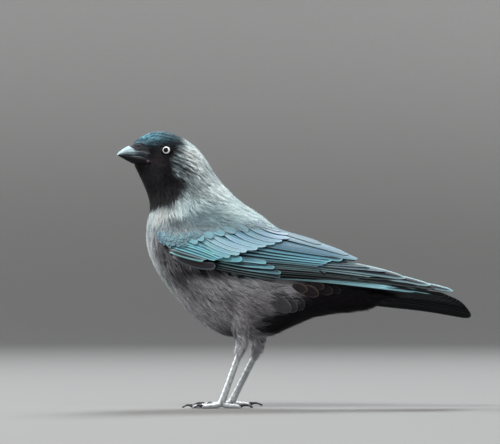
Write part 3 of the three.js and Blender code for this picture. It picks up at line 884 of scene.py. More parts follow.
def unwrapped(world):  # the bird's shape unrolled about a line from bill to tail
    p = straightened(world)
    spine = np.array(bake["spine"], float)
    steps = np.linalg.norm(np.diff(spine, axis=0), axis=1)
    length = np.concatenate([[0], np.cumsum(steps)])
    flat = p[:, [0, 2]]
    best, along, lift = np.full(len(p), np.inf), np.zeros(len(p)), np.zeros(len(p))
    for k in range(len(steps)):
        way = (spine[k + 1] - spine[k]) / steps[k]
        t = np.clip((flat - spine[k]) @ way, 0, steps[k])
        gap = flat - (spine[k] + t[:, None] * way)
        near = np.linalg.norm(gap, axis=1)
        mine = near < best
        best = np.where(mine, near, best)
        along = np.where(mine, length[k] + t, along)
        lift = np.where(mine, gap @ np.array([-way[1], way[0]]), lift)
    around = np.arctan2(p[:, 1], lift) / (2 * math.pi) + 0.5
    inside = 1 - 2 * bake["margin"]
    return bake["margin"] + inside * np.stack([around, along / length[-1]], 1)


class Template:  # a feather to repeat: places across (-1 to 1) and along (0 to 1), and its faces
    def __init__(self, bm):
        bm.verts.index_update()
        co = placesOf(bm.verts)
        self.q, self.s, self.level = co[:, 0], (co[:, 1] + 1) / 2, co[:, 2]
        self.faces = np.array([[v.index for v in f.verts] for f in bm.faces])
        bm.free()


def fan(across, along, blades, bladeHalf):  # narrow blades side by side, half widths as a share of the fan's
    bm = bmesh.new()
    for k in range(blades):
        for vert in bmesh.ops.create_grid(bm, x_segments=across, y_segments=along, size=1)["verts"]:
            vert.co.z = k
    template = Template(bm)
    template.blade, template.blades, template.bladeHalf = template.level.astype(int), blades, bladeHalf
    template.centre = (template.blade + 0.5) / blades * 2 - 1
    return template


def shell(across, along, gather, edgeGather=1.6):  # a closed thin plate, finer towards its tip and upper edge
    bm = bmesh.new()
    bmesh.ops.create_grid(bm, x_segments=across, y_segments=along, size=1)
    bmesh.ops.solidify(bm, geom=bm.faces[:], thickness=-0.01)
    template = Template(bm)
    template.q = 2 * np.clip((template.q + 1) / 2, 0, 1) ** edgeGather - 1
    template.s = 1 - (1 - np.clip(template.s, 0, 1)) ** gather
    template.lower = (np.abs(template.level) > 0.005).astype(float)
    return template


def joinedMesh(name, places, template, tints, vaneUv, bakeUv, rim=None):  # places: feathers x points x 3
    count, size = places.shape[:2]
    mesh = bpy.data.meshes.new(name)
    corners = template.faces.shape[1]
    faces = (template.faces[None] + (np.arange(count) * size)[:, None, None]).reshape(-1, corners)
    mesh.vertices.add(count * size)
    mesh.vertices.foreach_set("co", places.reshape(-1).astype(np.float32))
    mesh.loops.add(faces.size)
    mesh.loops.foreach_set("vertex_index", faces.ravel().astype(np.int32))
    mesh.polygons.add(len(faces))
    mesh.polygons.foreach_set("loop_start", np.arange(0, faces.size, corners, dtype=np.int32))
    mesh.update(calc_edges=True)
    mesh.shade_smooth()
    giveColour(mesh, "tint", np.clip(tints.reshape(-1, 3), 0.002, 1))
    if rim is not None:
        giveValue(mesh, "rim", np.clip(rim, 0, 1).ravel())
    for uvName, values in (("vane", vaneUv), ("OFBake", bakeUv)):
        layer = mesh.uv_layers.new(name=uvName)
        layer.data.foreach_set("uv", values.reshape(-1, 2)[faces.ravel()].astype(np.float32).ravel())
    made = bpy.data.objects.new(name, mesh)
    scene.collection.objects.link(made)
    return made


def vaneMap(template, lengths):  # places across each feather, and millimetres along it
    return np.stack(np.broadcast_arrays((template.q + 1) / 2, template.s * lengths[:, None]), -1)


def bakeMap(template, roots, across):  # each feather's small patch, where its root lies on the unrolled bird
    patch = np.stack([across, template.s - 0.5], -1) * bake["patch"]
    return unwrapped(roots)[:, None] + patch[None]


rng = np.random.default_rng(bird["seed"])


def scatterRoots():  # roots over the form, as close together as the guides say
    spacing = coatAt(straightened(outer.faceMiddles))[1][:, 2]
    chance = outer.faceAreas / (spacing * mm) ** 2
    count = int(chance.sum() * coat["tries"])
    picks = rng.choice(len(chance), count, p=chance / chance.sum())
    corners = np.array([f if len(f) == 4 else (f + f[:1]) for f in outer.faces])[picks]
    u, v = rng.random((2, count, 1))
    c = outer.places[corners]
    roots = c[:, 0] * (1 - u) * (1 - v) + c[:, 1] * u * (1 - v) + c[:, 2] * u * v + c[:, 3] * (1 - u) * v
    spacing = spacing[picks]
    tree = KDTree(count)
    for k, root in enumerate(roots):
        tree.insert(root, k)
    tree.balance()
    alive = np.ones(count, bool)
    kept = []
    for k in range(count):
        if alive[k]:
            kept.append(k)
            for place, other, gap in tree.find_range(roots[k], spacing[k] * mm):
                alive[other] = False
    return roots[kept]


def distanceTo(names, points):
    bm = copyOfNodes(names)
    tree = BVHTree.FromBMesh(bm)
    bm.free()
    return np.array([tree.find_nearest(Vector(p))[3] for p in points]) / mm


coat = {
    "tries": 3.2,               # candidates for each root that there is room for
    "eyeRing": 6.3,             # radius of the ring without tufts round each eye
    "eyeRingMiddle": (-0.4, 0, -1.6),   # its middle, from the eye body's
    "puff": 3.0,                # how far the coat stands off the form under the tail
    "wander": (16, 0.16, 21),   # the size of neighbouring tufts' shared turn, its angle and its seed
    "turnJitter": 0.16,
    "lengthJitter": 0.18,
    "streak": 0.30,             # how much the blades of one tuft differ in brightness
    "tone": 0.10,               # how much the tufts differ
    "ragged": 0.16,             # how much the blades differ in length
    "wobble": 0.25,             # how far they stray sideways
    "rounding": 0.3,            # how much shorter the outer blades are
    "taper": 2.5,
    "camber": 0.12,
}
# The wing's feathers cover its bodies below the first edge; small coverts grow between it and the second.
mantleEdge = curveThrough([  # x, z
    (-66, 148), (-60, 145.5), (-50, 143.5), (-40, 144), (-30, 145.5), (-15, 146.5), (0, 149), (10, 151),
    (22, 151.5), (32, 150), (41, 148),
])
shoulderEdge = curveThrough([(-66, 139), (-60, 136), (-52, 134), (-47, 135), (-40, 140), (-30, 144)])  # x, z
# The bill's bare horn lies between these edges.
bareTop = curveThrough([  # x, z
    (-90, 213.5), (-88, 212), (-86.3, 210.4), (-84.5, 209), (-79.7, 207.6), (-76, 205.6), (-74, 203.5),
])
bareLow = curveThrough([(-90, 198.5), (-84, 199.5), (-80, 200.5), (-77, 201.4), (-75, 202.4), (-74, 203.3)])


def chooseRoots():  # roots of the coat's tufts, and of the small coverts at the bend of each wing
    roots = scatterRoots()
    x, y, z = straightened(roots).T
    onWing = (distanceTo(wingNodes, roots) < 0.7) & ((z < mantleEdge(x)) | (x > 41))
    onWing &= ~((x < -50.5) & (z < 132))
    onBill = distanceTo(form["billNodes"], roots) < 0.45
    onTail = (distanceTo(["tail"], roots) < 0.6) | (toBird(roots)[:, 0] > 126)
    nearEye = np.zeros(len(roots), bool)
    for side in sides:
        low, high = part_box(f"eye_{side}")
        middle = np.array((low + high) / 2) + np.array(coat["eyeRingMiddle"]) * mm
        nearEye |= np.linalg.norm(roots - middle, axis=1) / mm < coat["eyeRing"]
    bareBill = (x < -74) & (z < bareTop(x)) & (z > bareLow(x))
    small = onWing & (x < -32) & (z > shoulderEdge(x))
    return roots[~(onWing | onBill | onTail | nearEye | bareBill)], roots[small]


def layPaths(roots, lengths, jitter, aim=None):  # root, middle and end of each feather on the form
    place, normal = outer.nearest(roots)
    size, angle, seed = coat["wander"]
    turn = (waves(toBird(roots), size, seed) * angle + rng.normal(size=len(roots)) * jitter)[:, None]
    places, normals = [place], [normal]
    for k in range(2):
        flow = coatAt(straightened(place))[0]
        way = np.stack([flow[:, 0], np.zeros(len(flow)), flow[:, 1]], 1) if aim is None else aim
        way = np.stack([*spun(way[:, 0], way[:, 1], neckTurn(toBird(place))), way[:, 2]], 1)
        way = unit(way - normal * (way * normal).sum(1, keepdims=True))
        way = unit(way * np.cos(turn) + np.cross(normal, way) * np.sin(turn))
        place, normal = outer.nearest(place + way * (lengths * 0.5 * mm)[:, None])
        places.append(place)
        normals.append(normal)
    return np.stack(places, 1), np.stack(normals, 1)


def bow(s):  # the shares of a path's three points at each s
    return np.stack([(1 - s) * (1 - 2 * s), 4 * s * (1 - s), s * (2 * s - 1)], -1)


def followPaths(paths, normals, s):  # points, ways, normals and sides at s along each path
    s = np.broadcast_to(s, (len(paths), s.shape[-1]))
    rise = np.stack([4 * s - 3, 4 - 8 * s, 4 * s - 1], -1)
    place = np.einsum("nmk,nkd->nmd", bow(s), paths)
    way = unit(np.einsum("nmk,nkd->nmd", rise, paths))
    share = np.clip(s, 0, 1)[..., None]
    normal = unit(normals[:, :1] * (1 - share) + normals[:, 2:] * share)
    return place, way, normal, unit(np.cross(way, normal))


def offPaths(place, across, normal, lateral, height):  # points beside and above the paths, by millimetres
    return place + across * (lateral * mm)[..., None] + normal * (height * mm)[..., None]


def puffAt(points):  # how far the coat stands off the form under the tail, millimetres
    under = smoothStep(-outer.nearest(points)[1][:, 2], 0.1, 0.7)
    return coat["puff"] * np.exp(-((toBird(points)[:, 0] - 98) / 24) ** 2) * under


cuff = {
    "above": 8.0,               # tufts that start this far or less above the thigh's end hang down
    "below": (1.0, 3.5),        # how far past the end they reach
    "radius": 3.1,
    "near": 9.0,                # tufts that start farther than this from the shank's line stay on the belly
    "closing": (0.35, 1.0),     # how much of the way to that radius they have come at the middle and the end
}


def hangDown(paths, normals):  # the thighs' lowest tufts reach past the end and close in on the shanks
    for side, out in sides.items():
        shank = shankOf(side)
        down = unit(shank[1] - shank[0])
        end = ((placesOf(nodes[f"thigh_{side}"].data.vertices) - shank[0]) @ down).max()
        along = (paths[:, 0] - shank[0]) @ down
        radial = paths[:, 0] - shank[0] - along[:, None] * down
        start = np.linalg.norm(radial, axis=1)
        mine = (paths[:, 0, 1] * out > 0) & (end - along < cuff["above"] * mm) & (start < cuff["near"] * mm)
        reach = np.maximum(end - along, 0) + rng.uniform(*cuff["below"], len(paths)) * mm
        for k, closing in enumerate(cuff["closing"], start=1):
            radius = start + (cuff["radius"] * mm - start) * closing
            place = shank[0] + down * (along + reach * k / 2)[:, None] + unit(radial) * radius[:, None]
            paths[:, k] = np.where(mine[:, None], place, paths[:, k])
            normals[:, k] = np.where(mine[:, None], unit(radial), normals[:, k])
    return paths, normals


def layTufts(name, roots, look, material):
    look = {**plainLook, **look}
    template, count = look["vane"], len(roots)
    s = template.s

    def perBlade(low=-np.inf, high=np.inf):  # a random number for each blade
        return rng.normal(size=(count, template.blades)).clip(low, high)[:, template.blade]

    size = coatAt(straightened(roots))[1]
    stretch = 1 + coat["lengthJitter"] * rng.normal(size=count).clip(-1.5, 1.5)
    lengths = size[:, 0] * stretch * look["length"]
    halves = size[:, 1:2]
    paths, normals = layPaths(roots, lengths, coat["turnJitter"])
    if look["hang"]:
        paths, normals = hangDown(paths, normals)
    longer = coat["ragged"] * perBlade(-1.5, 1.5)
    rounded = s * (1 - coat["rounding"] * template.centre ** 2)
    place, way, normal, across = followPaths(paths, normals, rounded)
    place = place + way * (longer * s * lengths[:, None] * mm)[..., None]
    taper = np.clip(1 - s ** coat["taper"], 0.06, 1)
    wobble = coat["wobble"] * perBlade() / template.blades
    lateral = template.centre * between(look["spread"], s ** 0.8) + wobble * s
    lateral = (lateral + template.q * template.bladeHalf * taper) * halves
    height = -0.96 * (1 - s) ** 1.3 - 0.05 + look["uneven"] * perBlade() * s
    height = depthAt(roots)[:, None] * height + look["lift"] * size[:, 3:4] * s ** 2
    height = height + puffAt(roots)[:, None] * (0.3 + 0.7 * s)
    height = height - coat["camber"] * lateral ** 2 / np.maximum(halves, 0.3)
    points = offPaths(place, across, normal, lateral, height)
    points[..., 2] = np.maximum(points[..., 2], 0.0002)
    bright = 1 + coat["streak"] * look["streak"] * perBlade(-2, 1.2)
    # painted shade: each tuft darker towards its root, where the tufts above cover it
    fade = between((look["root"], 1), s ** 0.7)
    tone = 1 + coat["tone"] * rng.normal(size=(count, 1))
    pale = (rng.random((count, template.blades)) < look["pale"])[:, template.blade] * smoothStep(s, 0.3, 0.8)
    tints = plumageColour(paths[:, 1])[:, None] * (bright * fade * tone * (1 + 0.8 * pale))[..., None]
    vaneUv = vaneMap(template, lengths) + np.stack([rng.random((count, 1)), rng.random((count, 1)) * 9], -1)
    bakeUv = bakeMap(template, roots, template.centre * 0.5 + template.q * 0.2)
    piece = joinedMesh(name, points, template, tints, vaneUv, bakeUv)
    wearPiece(piece, material)
    print(name + ":", count, "tufts,", len(piece.data.polygons) * 2, "triangles")


softPlumage = tuftMaterial("softPlumage", 0.62, 0.35)
downyPlumage = tuftMaterial("downyPlumage", 0.75, 0.3)

# How wide a tuft's blades fan out at its root and tip, how dark its root is painted beside its tip (painted
# shade where the tufts above cover it), how far it lifts, and how its blades vary.
plainLook = {"length": 1, "lift": 0, "uneven": 0.16, "pale": 0, "hang": False}
tuftLooks = {
    "face": {"vane": fan(1, 3, 3, 0.36), "spread": (0.5, 0.75), "root": 0.7, "streak": 0.7},
    "neck": {"vane": fan(1, 4, 5, 0.25), "spread": (0.5, 0.95), "root": 0.5, "streak": 1.05,
             "lift": 0.04, "pale": 0.04},
    "breast": {"vane": fan(1, 4, 7, 0.2), "spread": (0.4, 0.95), "root": 0.5, "streak": 0.9,
               "lift": 0.03, "pale": 0.1},
    "back": {"vane": fan(1, 4, 9, 0.17), "spread": (0.5, 1.0), "root": 0.75, "streak": 0.45},
    "collar": {"vane": fan(1, 4, 7, 0.17), "spread": (0.5, 1.0), "root": 0.75, "streak": 0.75, "uneven": 0.1},
    "thigh": {"vane": fan(1, 4, 5, 0.2), "spread": (0.5, 0.8), "root": 0.6, "streak": 1.0, "length": 1.35,
              "lift": 0.45, "uneven": 0.3, "hang": True},
}


def partOf(points):  # the part of the coat that each root belongs to; a later line overrules an earlier one
    x, y, z = straightened(points).T
    part = np.where(z - 0.35 * (x + 40) > 189 - 0.55 * (x + 60), "head", "neck")
    part = np.where(z < 0.36 * x + 175, np.where(z > 128, "back", "belly"), part)
    part = np.where((x < -40) & (z > 147) & (z < 168 + 0.3 * (x + 60)), "collar", part)
    part = np.where((x < -44) & (z < 147), "breast", part)
    part = np.where((x > 20 + (z - 60) * 0.4) & (z < 128), "rump", part)
    return np.where((z < 60) & (np.abs(y) > 8) & (x < 32), "thighs", part)


partLooks = {  # tufts, slot and material
    "head": ("face", "plumage_black", softPlumage),
    "neck": ("neck", "plumage_silver", softPlumage),
    "collar": ("collar", "plumage_silver", softPlumage),
    "breast": ("breast", "plumage_grey", downyPlumage),
    "belly": ("breast", "plumage_grey", downyPlumage),
    "back": ("back", "plumage_silver", softPlumage),
    "rump": ("back", "plumage_black", downyPlumage),
    "thighs": ("thigh", "plumage_grey", downyPlumage),
}
coatRoots, shoulderRoots = chooseRoots()
print("coat:", len(coatRoots), "roots")
rootParts = partOf(coatRoots)
for part, (look, slot, material) in partLooks.items():
    layTufts("coat_" + part, coatRoots[rootParts == part], tuftLooks[look], material)


# The folded wings lie on a rounded form: x, then its middle height, half height and half width.
wingForm = curveThrough([
    (-65, 137, 31.5, 26.5), (-45, 133, 38.5, 38.5), (-8, 126, 45, 43.5), (12, 118, 46.5, 43),
    (33, 114, 35, 39.5), (70, 110, 27, 31), (100, 104, 21, 25), (123, 100, 17.2, 21.5), (151, 96.5, 11, 17.5),
    (180, 92, 8.5, 13),
])


def ontoWing(points, height):  # points (y positive) pulled onto the wing's form and lifted, and their normals
    x = points[..., 0]
    middle, halfHigh, halfWide = np.moveaxis(wingForm(x), -1, 0)
    c, s = (points[..., 2] - middle) / halfHigh, np.abs(points[..., 1]) / halfWide
    size = np.maximum(np.hypot(c, s), 1e-6)
    c, s = c / size, s / size
    place = np.stack([x, halfWide * s, middle + halfHigh * c], -1)
    rise = (wingForm(x + 1) - wingForm(x - 1)) / 2
    along = np.stack([np.ones_like(x), rise[..., 2] * s, rise[..., 0] + rise[..., 1] * c], -1)
    around = np.stack([np.zeros_like(x), halfWide * c, -halfHigh * s], -1)
    normal = unit(np.cross(along, around))
    return place + normal * height[..., None], normal


tailLine = curveThrough([(78, 93.5), (115, 91), (156, 87.4), (193.4, 80.6)])  # x, z
tail = {"twist": math.radians(23), "arch": 1.6, "half": 23.0, "lift": 1.6}


def ontoTail(points, height):  # the same for the arched and tipped tail, for points of x and a place across
    across = points[..., 1]
    up = height - tail["arch"] * (across / tail["half"]) ** 2
    y, rise = spun(across, up, -tail["twist"])
    return np.stack([points[..., 0], y, tailLine(points[..., 0]) + tail["lift"] + rise], -1)


def rowOf(count, points):  # count places along a line of given points, evenly by their order
    points = np.array(points, float)
    where = np.linspace(0, len(points) - 1, count)
    return np.stack([np.interp(where, np.arange(len(points)), column) for column in points.T], 1)


def shades(count, colours):  # one linear colour for each feather of a row
    return np.array([srgb(*colour) for colour in rowOf(count, colours)])[:, None]


longVane = shell(9, 18, 1.9)
shortVane = shell(9, 9, 1.5)
scaleVane = shell(6, 6, 1.5, 1.0)

covertVane = vaneMaterial("covertVane", 0.75, 0.6, 0.35, 0.1)
flightVane = vaneMaterial("flightVane", 0.6, 0.55, 0.2, 0.12)
tailVane = vaneMaterial("tailVane", 0.5, 0.7, 0.05, 0.05)
softVane = vaneMaterial("softVane", 0.3, 0.65, 0.3, 0.12)

# What the rows of a kind share. The row's line lies across each feather at lineAt, its shaft at shaftAt and
# its tip at tipAt, from 0 at the lower edge to 1 at the upper one.
folded = {"lineAt": 0, "shaftAt": 0.38, "tipAt": 0.5}
rowKinds = {
    "covert": {**folded, "slot": "wing_coverts", "template": shortVane, "material": covertVane},
    "soft": {**folded, "slot": "wing_coverts", "template": shortVane, "material": softVane},
    "flight": {**folded, "slot": "flight_feathers", "template": longVane, "material": flightVane},
    "tail": {"lineAt": 0.5, "shaftAt": 0.5, "tipAt": 0.5, "slot": "flight_feathers", "template": longVane,
             "material": tailVane},
}

# Each row of folded feathers: half widths, depth below the wing's form, how much deeper the roots sink, the
# tilt across, the length of the rounded end at the lower and upper edge, the lit web's brightness at root and
# tip (darker roots are painted shade where covered), the root, middle and tip (x, z) of every feather's lower
# edge, the colours of the painted lit web, of the rest (in most rows painted darker as shade) and of the
# upper web, and the lit web's width along the feather.
wingRows = {
    # dark feathers under the wing's lower edge, standing in for the shadow band there
    "shadowLining": {
        "kind": "flight", "material": tailVane, "half": (6.5, 5.0), "depth": (4.2, 5.4), "sink": 0,
        "tilt": 0.4, "tip": (3, 6), "tipAt": 0.3, "fade": (1, 1),
        "roots": [(-56, 138), (-54, 132), (-50, 126), (-44, 121), (-36, 116), (-26, 112)],
        "middles": [(10, 141), (12, 133), (12, 126), (12, 119), (13, 113), (15, 108)],
        "tips": [(70, 134), (84, 127), (92, 121), (104, 114), (134, 106), (138, 102.5)],
        "web": [(20, 22, 26)], "inner": [(16, 17, 20)], "webWidth": [(0, 1), (1, 1)],
    },
    "edgePrimaries": {
        "kind": "flight", "half": (3.1, 3.4), "depth": (3.9, 4.3), "sink": 0.2, "tilt": 0.3, "tip": (3, 8),
        "tipAt": 0.3, "fade": (0.3, 1.5),
        "roots": [(2, 103.5), (-6, 105)], "middles": [(85, 100.8), (70, 100.7)],
        "tips": [(162, 93.0), (147, 94.6)], "web": [(146, 195, 206), (140, 190, 202)],
        "inner": [(10, 12, 15)],
        "webWidth": [(0, 0.4), (0.4, 0.7), (0.48, 2.5), (0.56, 6), (0.8, 5.6), (0.88, 3.2), (1, 1.2)],
    },
    "primaries": {
        "kind": "flight", "half": (1.9, 2.1, 6.6, 5.6, 4.6, 4.0, 4.0), "depth": (2.2, 3.4), "sink": 0.6,
        "tilt": 0.3, "tip": (1.6, 6.0), "tipAt": 0.25, "fade": (0.9, 1.0),
        "roots": [(-5, 121), (-7, 119), (-8, 117.5), (-9, 116), (-10, 114.5), (-11, 112.5), (-12, 110.5)],
        "middles": [(52, 117.7), (58, 115.9), (66, 113.3), (75, 110.7), (84, 108.4), (74, 107.1),
                    (70, 106.2)],
        "tips": [(109.8, 115.4), (123, 111.8), (139.6, 107), (160, 101), (178.6, 95.5), (163, 97.6),
                 (150, 99.2)],
        "web": [(87, 102, 111), (87, 104, 113), (94, 119, 126), (99, 124, 129), (94, 116, 121), (42, 44, 47),
                (18, 20, 24)],
        "inner": [(49, 54, 60), (39, 44, 50), (20, 24, 29), (13, 15, 18), (12, 13, 15), (8, 8, 10),
                  (7, 8, 9)],
        "top": [(59, 76, 82), (59, 76, 82), (112, 138, 142), (114, 142, 145), (108, 140, 143), (17, 20, 24),
                (8, 10, 12)],
        "webWidth": [(0, 0.5), (0.35, 1.1), (0.6, 1.7), (1, 2.2)],
    },
    "secondaries": {
        "kind": "flight", "half": (3.6, 3.2), "depth": (1.7, 2.2), "sink": 0.4, "tilt": 0.45,
        "tip": (1.2, 4.0), "tipAt": 0.3, "fade": (0.6, 0.98),
        "roots": [(8, 127.5), (4, 124.8), (0, 122), (0, 119.5)],
        "middles": [(45, 122.2), (42, 120.4), (38, 118.5), (38, 117.2)],
        "tips": [(78.5, 120.2), (75, 118.6), (72, 117.2), (68, 116)],
        "web": [(101, 157, 172), (90, 143, 159), (77, 124, 138), (62, 90, 99)], "inner": [(14, 29, 40)],
        "webWidth": [(0, 1.1), (0.5, 1.4), (1, 1.5)],
    },
    "tertials": {
        "kind": "flight", "half": (7.6, 6.6, 5.8, 5.0), "depth": (0.1, 1.3), "sink": 0.6, "tilt": 0.3,
        "tip": (0.8, 2.6), "tipAt": 0.35, "fade": (0.95, 1.05),
        "roots": [(20, 147.5), (18, 143), (12, 133.5), (10, 130)],
        "middles": [(44, 140), (50, 134.8), (57, 125.9), (47, 124.3)],
        "tips": [(71, 136.8), (94, 127.6), (101.2, 123.8), (88, 121.9)],
        "web": [(74, 98, 108), (78, 103, 114), (72, 106, 120), (80, 126, 141)],
        "inner": [(76, 102, 113), (84, 110, 121), (82, 110, 125), (16, 32, 42)],
        "webWidth": [(0, 2.2), (0.5, 2.2), (1, 2.2)],
    },
    "primaryCoverts": {
        "kind": "covert", "template": longVane, "half": (1.9, 2.2), "depth": (2.1, 2.7), "sink": 0.3,
        "tilt": 0.4, "tip": (1.0, 1.6), "fade": (1.08, 0.94),
        "roots": [(-4, 119.8), (-12, 117.5), (-14, 115.2), (-15, 113.2), (-16, 111.5)],
        "middles": [(13, 117.7), (8, 114.2), (10, 110.9), (10, 108.6), (8, 107.0)],
        "tips": [(25.4, 118.2), (32.2, 114.3), (37.4, 109.9), (37, 106.9), (34, 105)],
        "web": [(110, 166, 175), (110, 165, 173), (86, 127, 133), (50, 62, 66), (34, 36, 40)],
        "inner": [(82, 122, 131), (50, 74, 82), (22, 32, 38), (14, 16, 20), (10, 12, 14)],
        "webWidth": [(0, 0.5), (0.4, 0.8), (0.7, 1.8), (1, 2.6)],
    },
    "roundCoverts": {
        "kind": "covert", "half": (2.5, 2.5), "depth": (1.6, 1.6), "sink": 0.2, "tilt": 0.3,
        "tip": (1.1, 1.1), "fade": (0.5, 1.05),
        "roots": [(-22, 121.4)], "middles": [(-7, 118.4)], "tips": [(6.2, 121)], "web": [(108, 172, 184)],
        "inner": [(78, 128, 140)], "webWidth": [(0, 3), (1, 3.6)],
    },
    "alula": {
        "kind": "flight", "template": shortVane, "half": (1.8, 3.4), "depth": (1.5, 1.9), "sink": 0.8,
        "tilt": 0.3, "tip": (1.0, 1.0), "fade": (0.9, 1.08),
        "roots": [(-52, 128), (-54, 125.5), (-52, 121.5)],
        "middles": [(-38, 123.4), (-40, 120.8), (-34, 113.1)],
        "tips": [(-22, 121.2), (-24.6, 120.5), (-15.2, 115.4)],
        "web": [(116, 142, 146), (116, 170, 172), (66, 72, 75)],
        "inner": [(82, 90, 94), (64, 70, 74), (50, 47, 50)], "webWidth": [(0, 0.9), (1, 2.0)],
    },
    "outerCoverts": {
        "kind": "covert", "half": (2.2, 1.9), "depth": (1.3, 1.1), "sink": 0.8, "tilt": 0.35,
        "tip": (1.4, 1.4), "fade": (0.9, 1.0),
        "roots": [(-52, 129.5), (-50, 131), (-48, 132), (-45, 133.5)],
        "middles": [(-38, 125.6), (-34, 126.8), (-31, 128.2), (-29, 129.2)],
        "tips": [(-14.5, 120.3), (-12.5, 121), (-11, 121.6), (-10, 122.4)], "web": [(118, 188, 198)],
        "inner": [(66, 106, 118)], "webWidth": [(0, 1.4), (0.5, 1.4), (1, 1.3)],
    },
    "greaterCoverts": {
        "kind": "covert", "half": (2.7, 3.1), "depth": (1.0, 0.2), "sink": 0.9, "tilt": 0.33,
        "tip": (1.2, 1.2), "tipAt": 0.42, "fade": (0.85, 1.06),
        "roots": [(-44, 135), (-40, 136), (-32, 138.5), (-29, 141.5), (-25, 144.5), (-16, 147), (-10, 149.5),
                  (-3, 150.5), (3, 151.5), (12, 151.5)],
        "middles": [(-27, 126.8), (-22, 126.1), (-14, 127), (-10, 129.4), (-5, 130.9), (3, 132.8),
                    (11, 134.7), (18, 137), (25, 139.3), (30, 142.6)],
        "tips": [(-9.5, 121.8), (-3.2, 123), (4.7, 125.6), (10.6, 127.9), (19.5, 130), (26.8, 132.9),
                 (33.9, 135.1), (39.5, 137.3), (45.6, 140), (45, 143.4)],
        "web": [(118, 178, 188), (130, 183, 193), (140, 184, 195), (150, 184, 197), (147, 180, 196),
                (141, 177, 192), (133, 166, 182), (124, 152, 168), (118, 140, 154), (122, 138, 150)],
        "inner": [(84, 128, 141)], "webWidth": [(0, 2.2), (0.4, 3.7), (1, 6)],
    },
    "medianCoverts": {
        "kind": "soft", "half": (2.6, 3.3), "depth": (0.9, 0.9), "sink": 2.0, "tilt": 0.2, "tip": (1.2, 1.2),
        "fade": (0.9, 1.05),
        "roots": [(-46, 141), (-43, 143.5), (-38, 145), (-30, 146.5), (-21, 147.5), (-10, 148.5)],
        "middles": [(-38, 134.9), (-34, 137.8), (-28, 140.2), (-20, 142.4), (-11, 144.6), (-1, 146.4)],
        "tips": [(-30, 134.4), (-25, 136.8), (-17.5, 139), (-8.5, 141), (0.5, 143), (11, 144.6)],
        "web": [(116, 160, 170), (116, 158, 169), (110, 150, 162), (106, 146, 157), (106, 141, 151),
                (106, 133, 142)],
        "inner": [(108, 146, 157)], "webWidth": [(0, 2), (1, 4)],
    },
    "shoulderCoverts": {
        "kind": "soft", "half": (2.7, 2.3), "depth": (1.0, 0.9), "sink": 0.8, "tilt": 0.2, "tip": (1.3, 1.5),
        "fade": (0.85, 1.04),
        "roots": [(-57, 138), (-58, 141.5), (-54, 144)],
        "middles": [(-46, 131.5), (-49, 136.6), (-43, 139.2)],
        "tips": [(-37.8, 134), (-40.6, 139), (-35.4, 141.6)],
        "web": [(110, 146, 155), (98, 130, 140), (92, 126, 136)], "inner": [(88, 116, 124)],
        "webWidth": [(0, 3), (1, 4)],
    },
    "scapulars": {
        "kind": "covert", "slot": "plumage_silver", "half": (3.2, 2.6), "depth": (0.6, 0.6), "sink": 1.2,
        "tilt": 0.2, "tip": (1.4, 1.4), "fade": (0.8, 1.25),
        "roots": [(0, 152), (5, 152), (12, 151.5)], "middles": [(14, 149), (22, 147.4), (29, 144.8)],
        "tips": [(28, 148), (37, 145.6), (44, 143.6)],
        "web": [(102, 119, 125), (112, 129, 134), (122, 139, 143)], "inner": [(97, 114, 122)],
        "webWidth": [(0, 3), (1, 5)],
    },
}

# The rows that stand for the bodies of the wing's layers.
wingReplaces = {"greaterCoverts": "coverts", "secondaries": "secondaries", "primaries": "primaries"}

# The tail's places lie across it, and its outer feathers fall below the middle ones.
tailRow = {
    "kind": "tail", "count": 12,
    "roots": [(80, -9), (80, 9)],
    "middles": [(133, -15.5), (133, 15.5)],
    "tips": [(171, -18.5), (176, -14), (181, -10), (185, -6), (187.5, -2), (190, 2.5), (192.2, 7),
             (194.2, 11.5), (194.6, 15)],
    "half": (5.6, 5.6), "fall": 0.9, "sink": 0, "tilt": 0.12, "tip": (1.2, 0.9), "fade": (1, 1),
    "web": [(29, 28, 32)], "inner": [(21, 20, 23)], "webWidth": [(0, 1), (1, 1)],
}
vaneShape = {
    "widthJitter": 0.03,
    "toneJitter": 0.06,
    "curl": 0.08,               # how far the tips stray up or down
    "arch": 0.04,               # how much the vane arches, as a share of its half width
    "thickness": 0.13,
    "topWeb": (1.8, 3.6),       # the upper web's colour fades out over this width
}


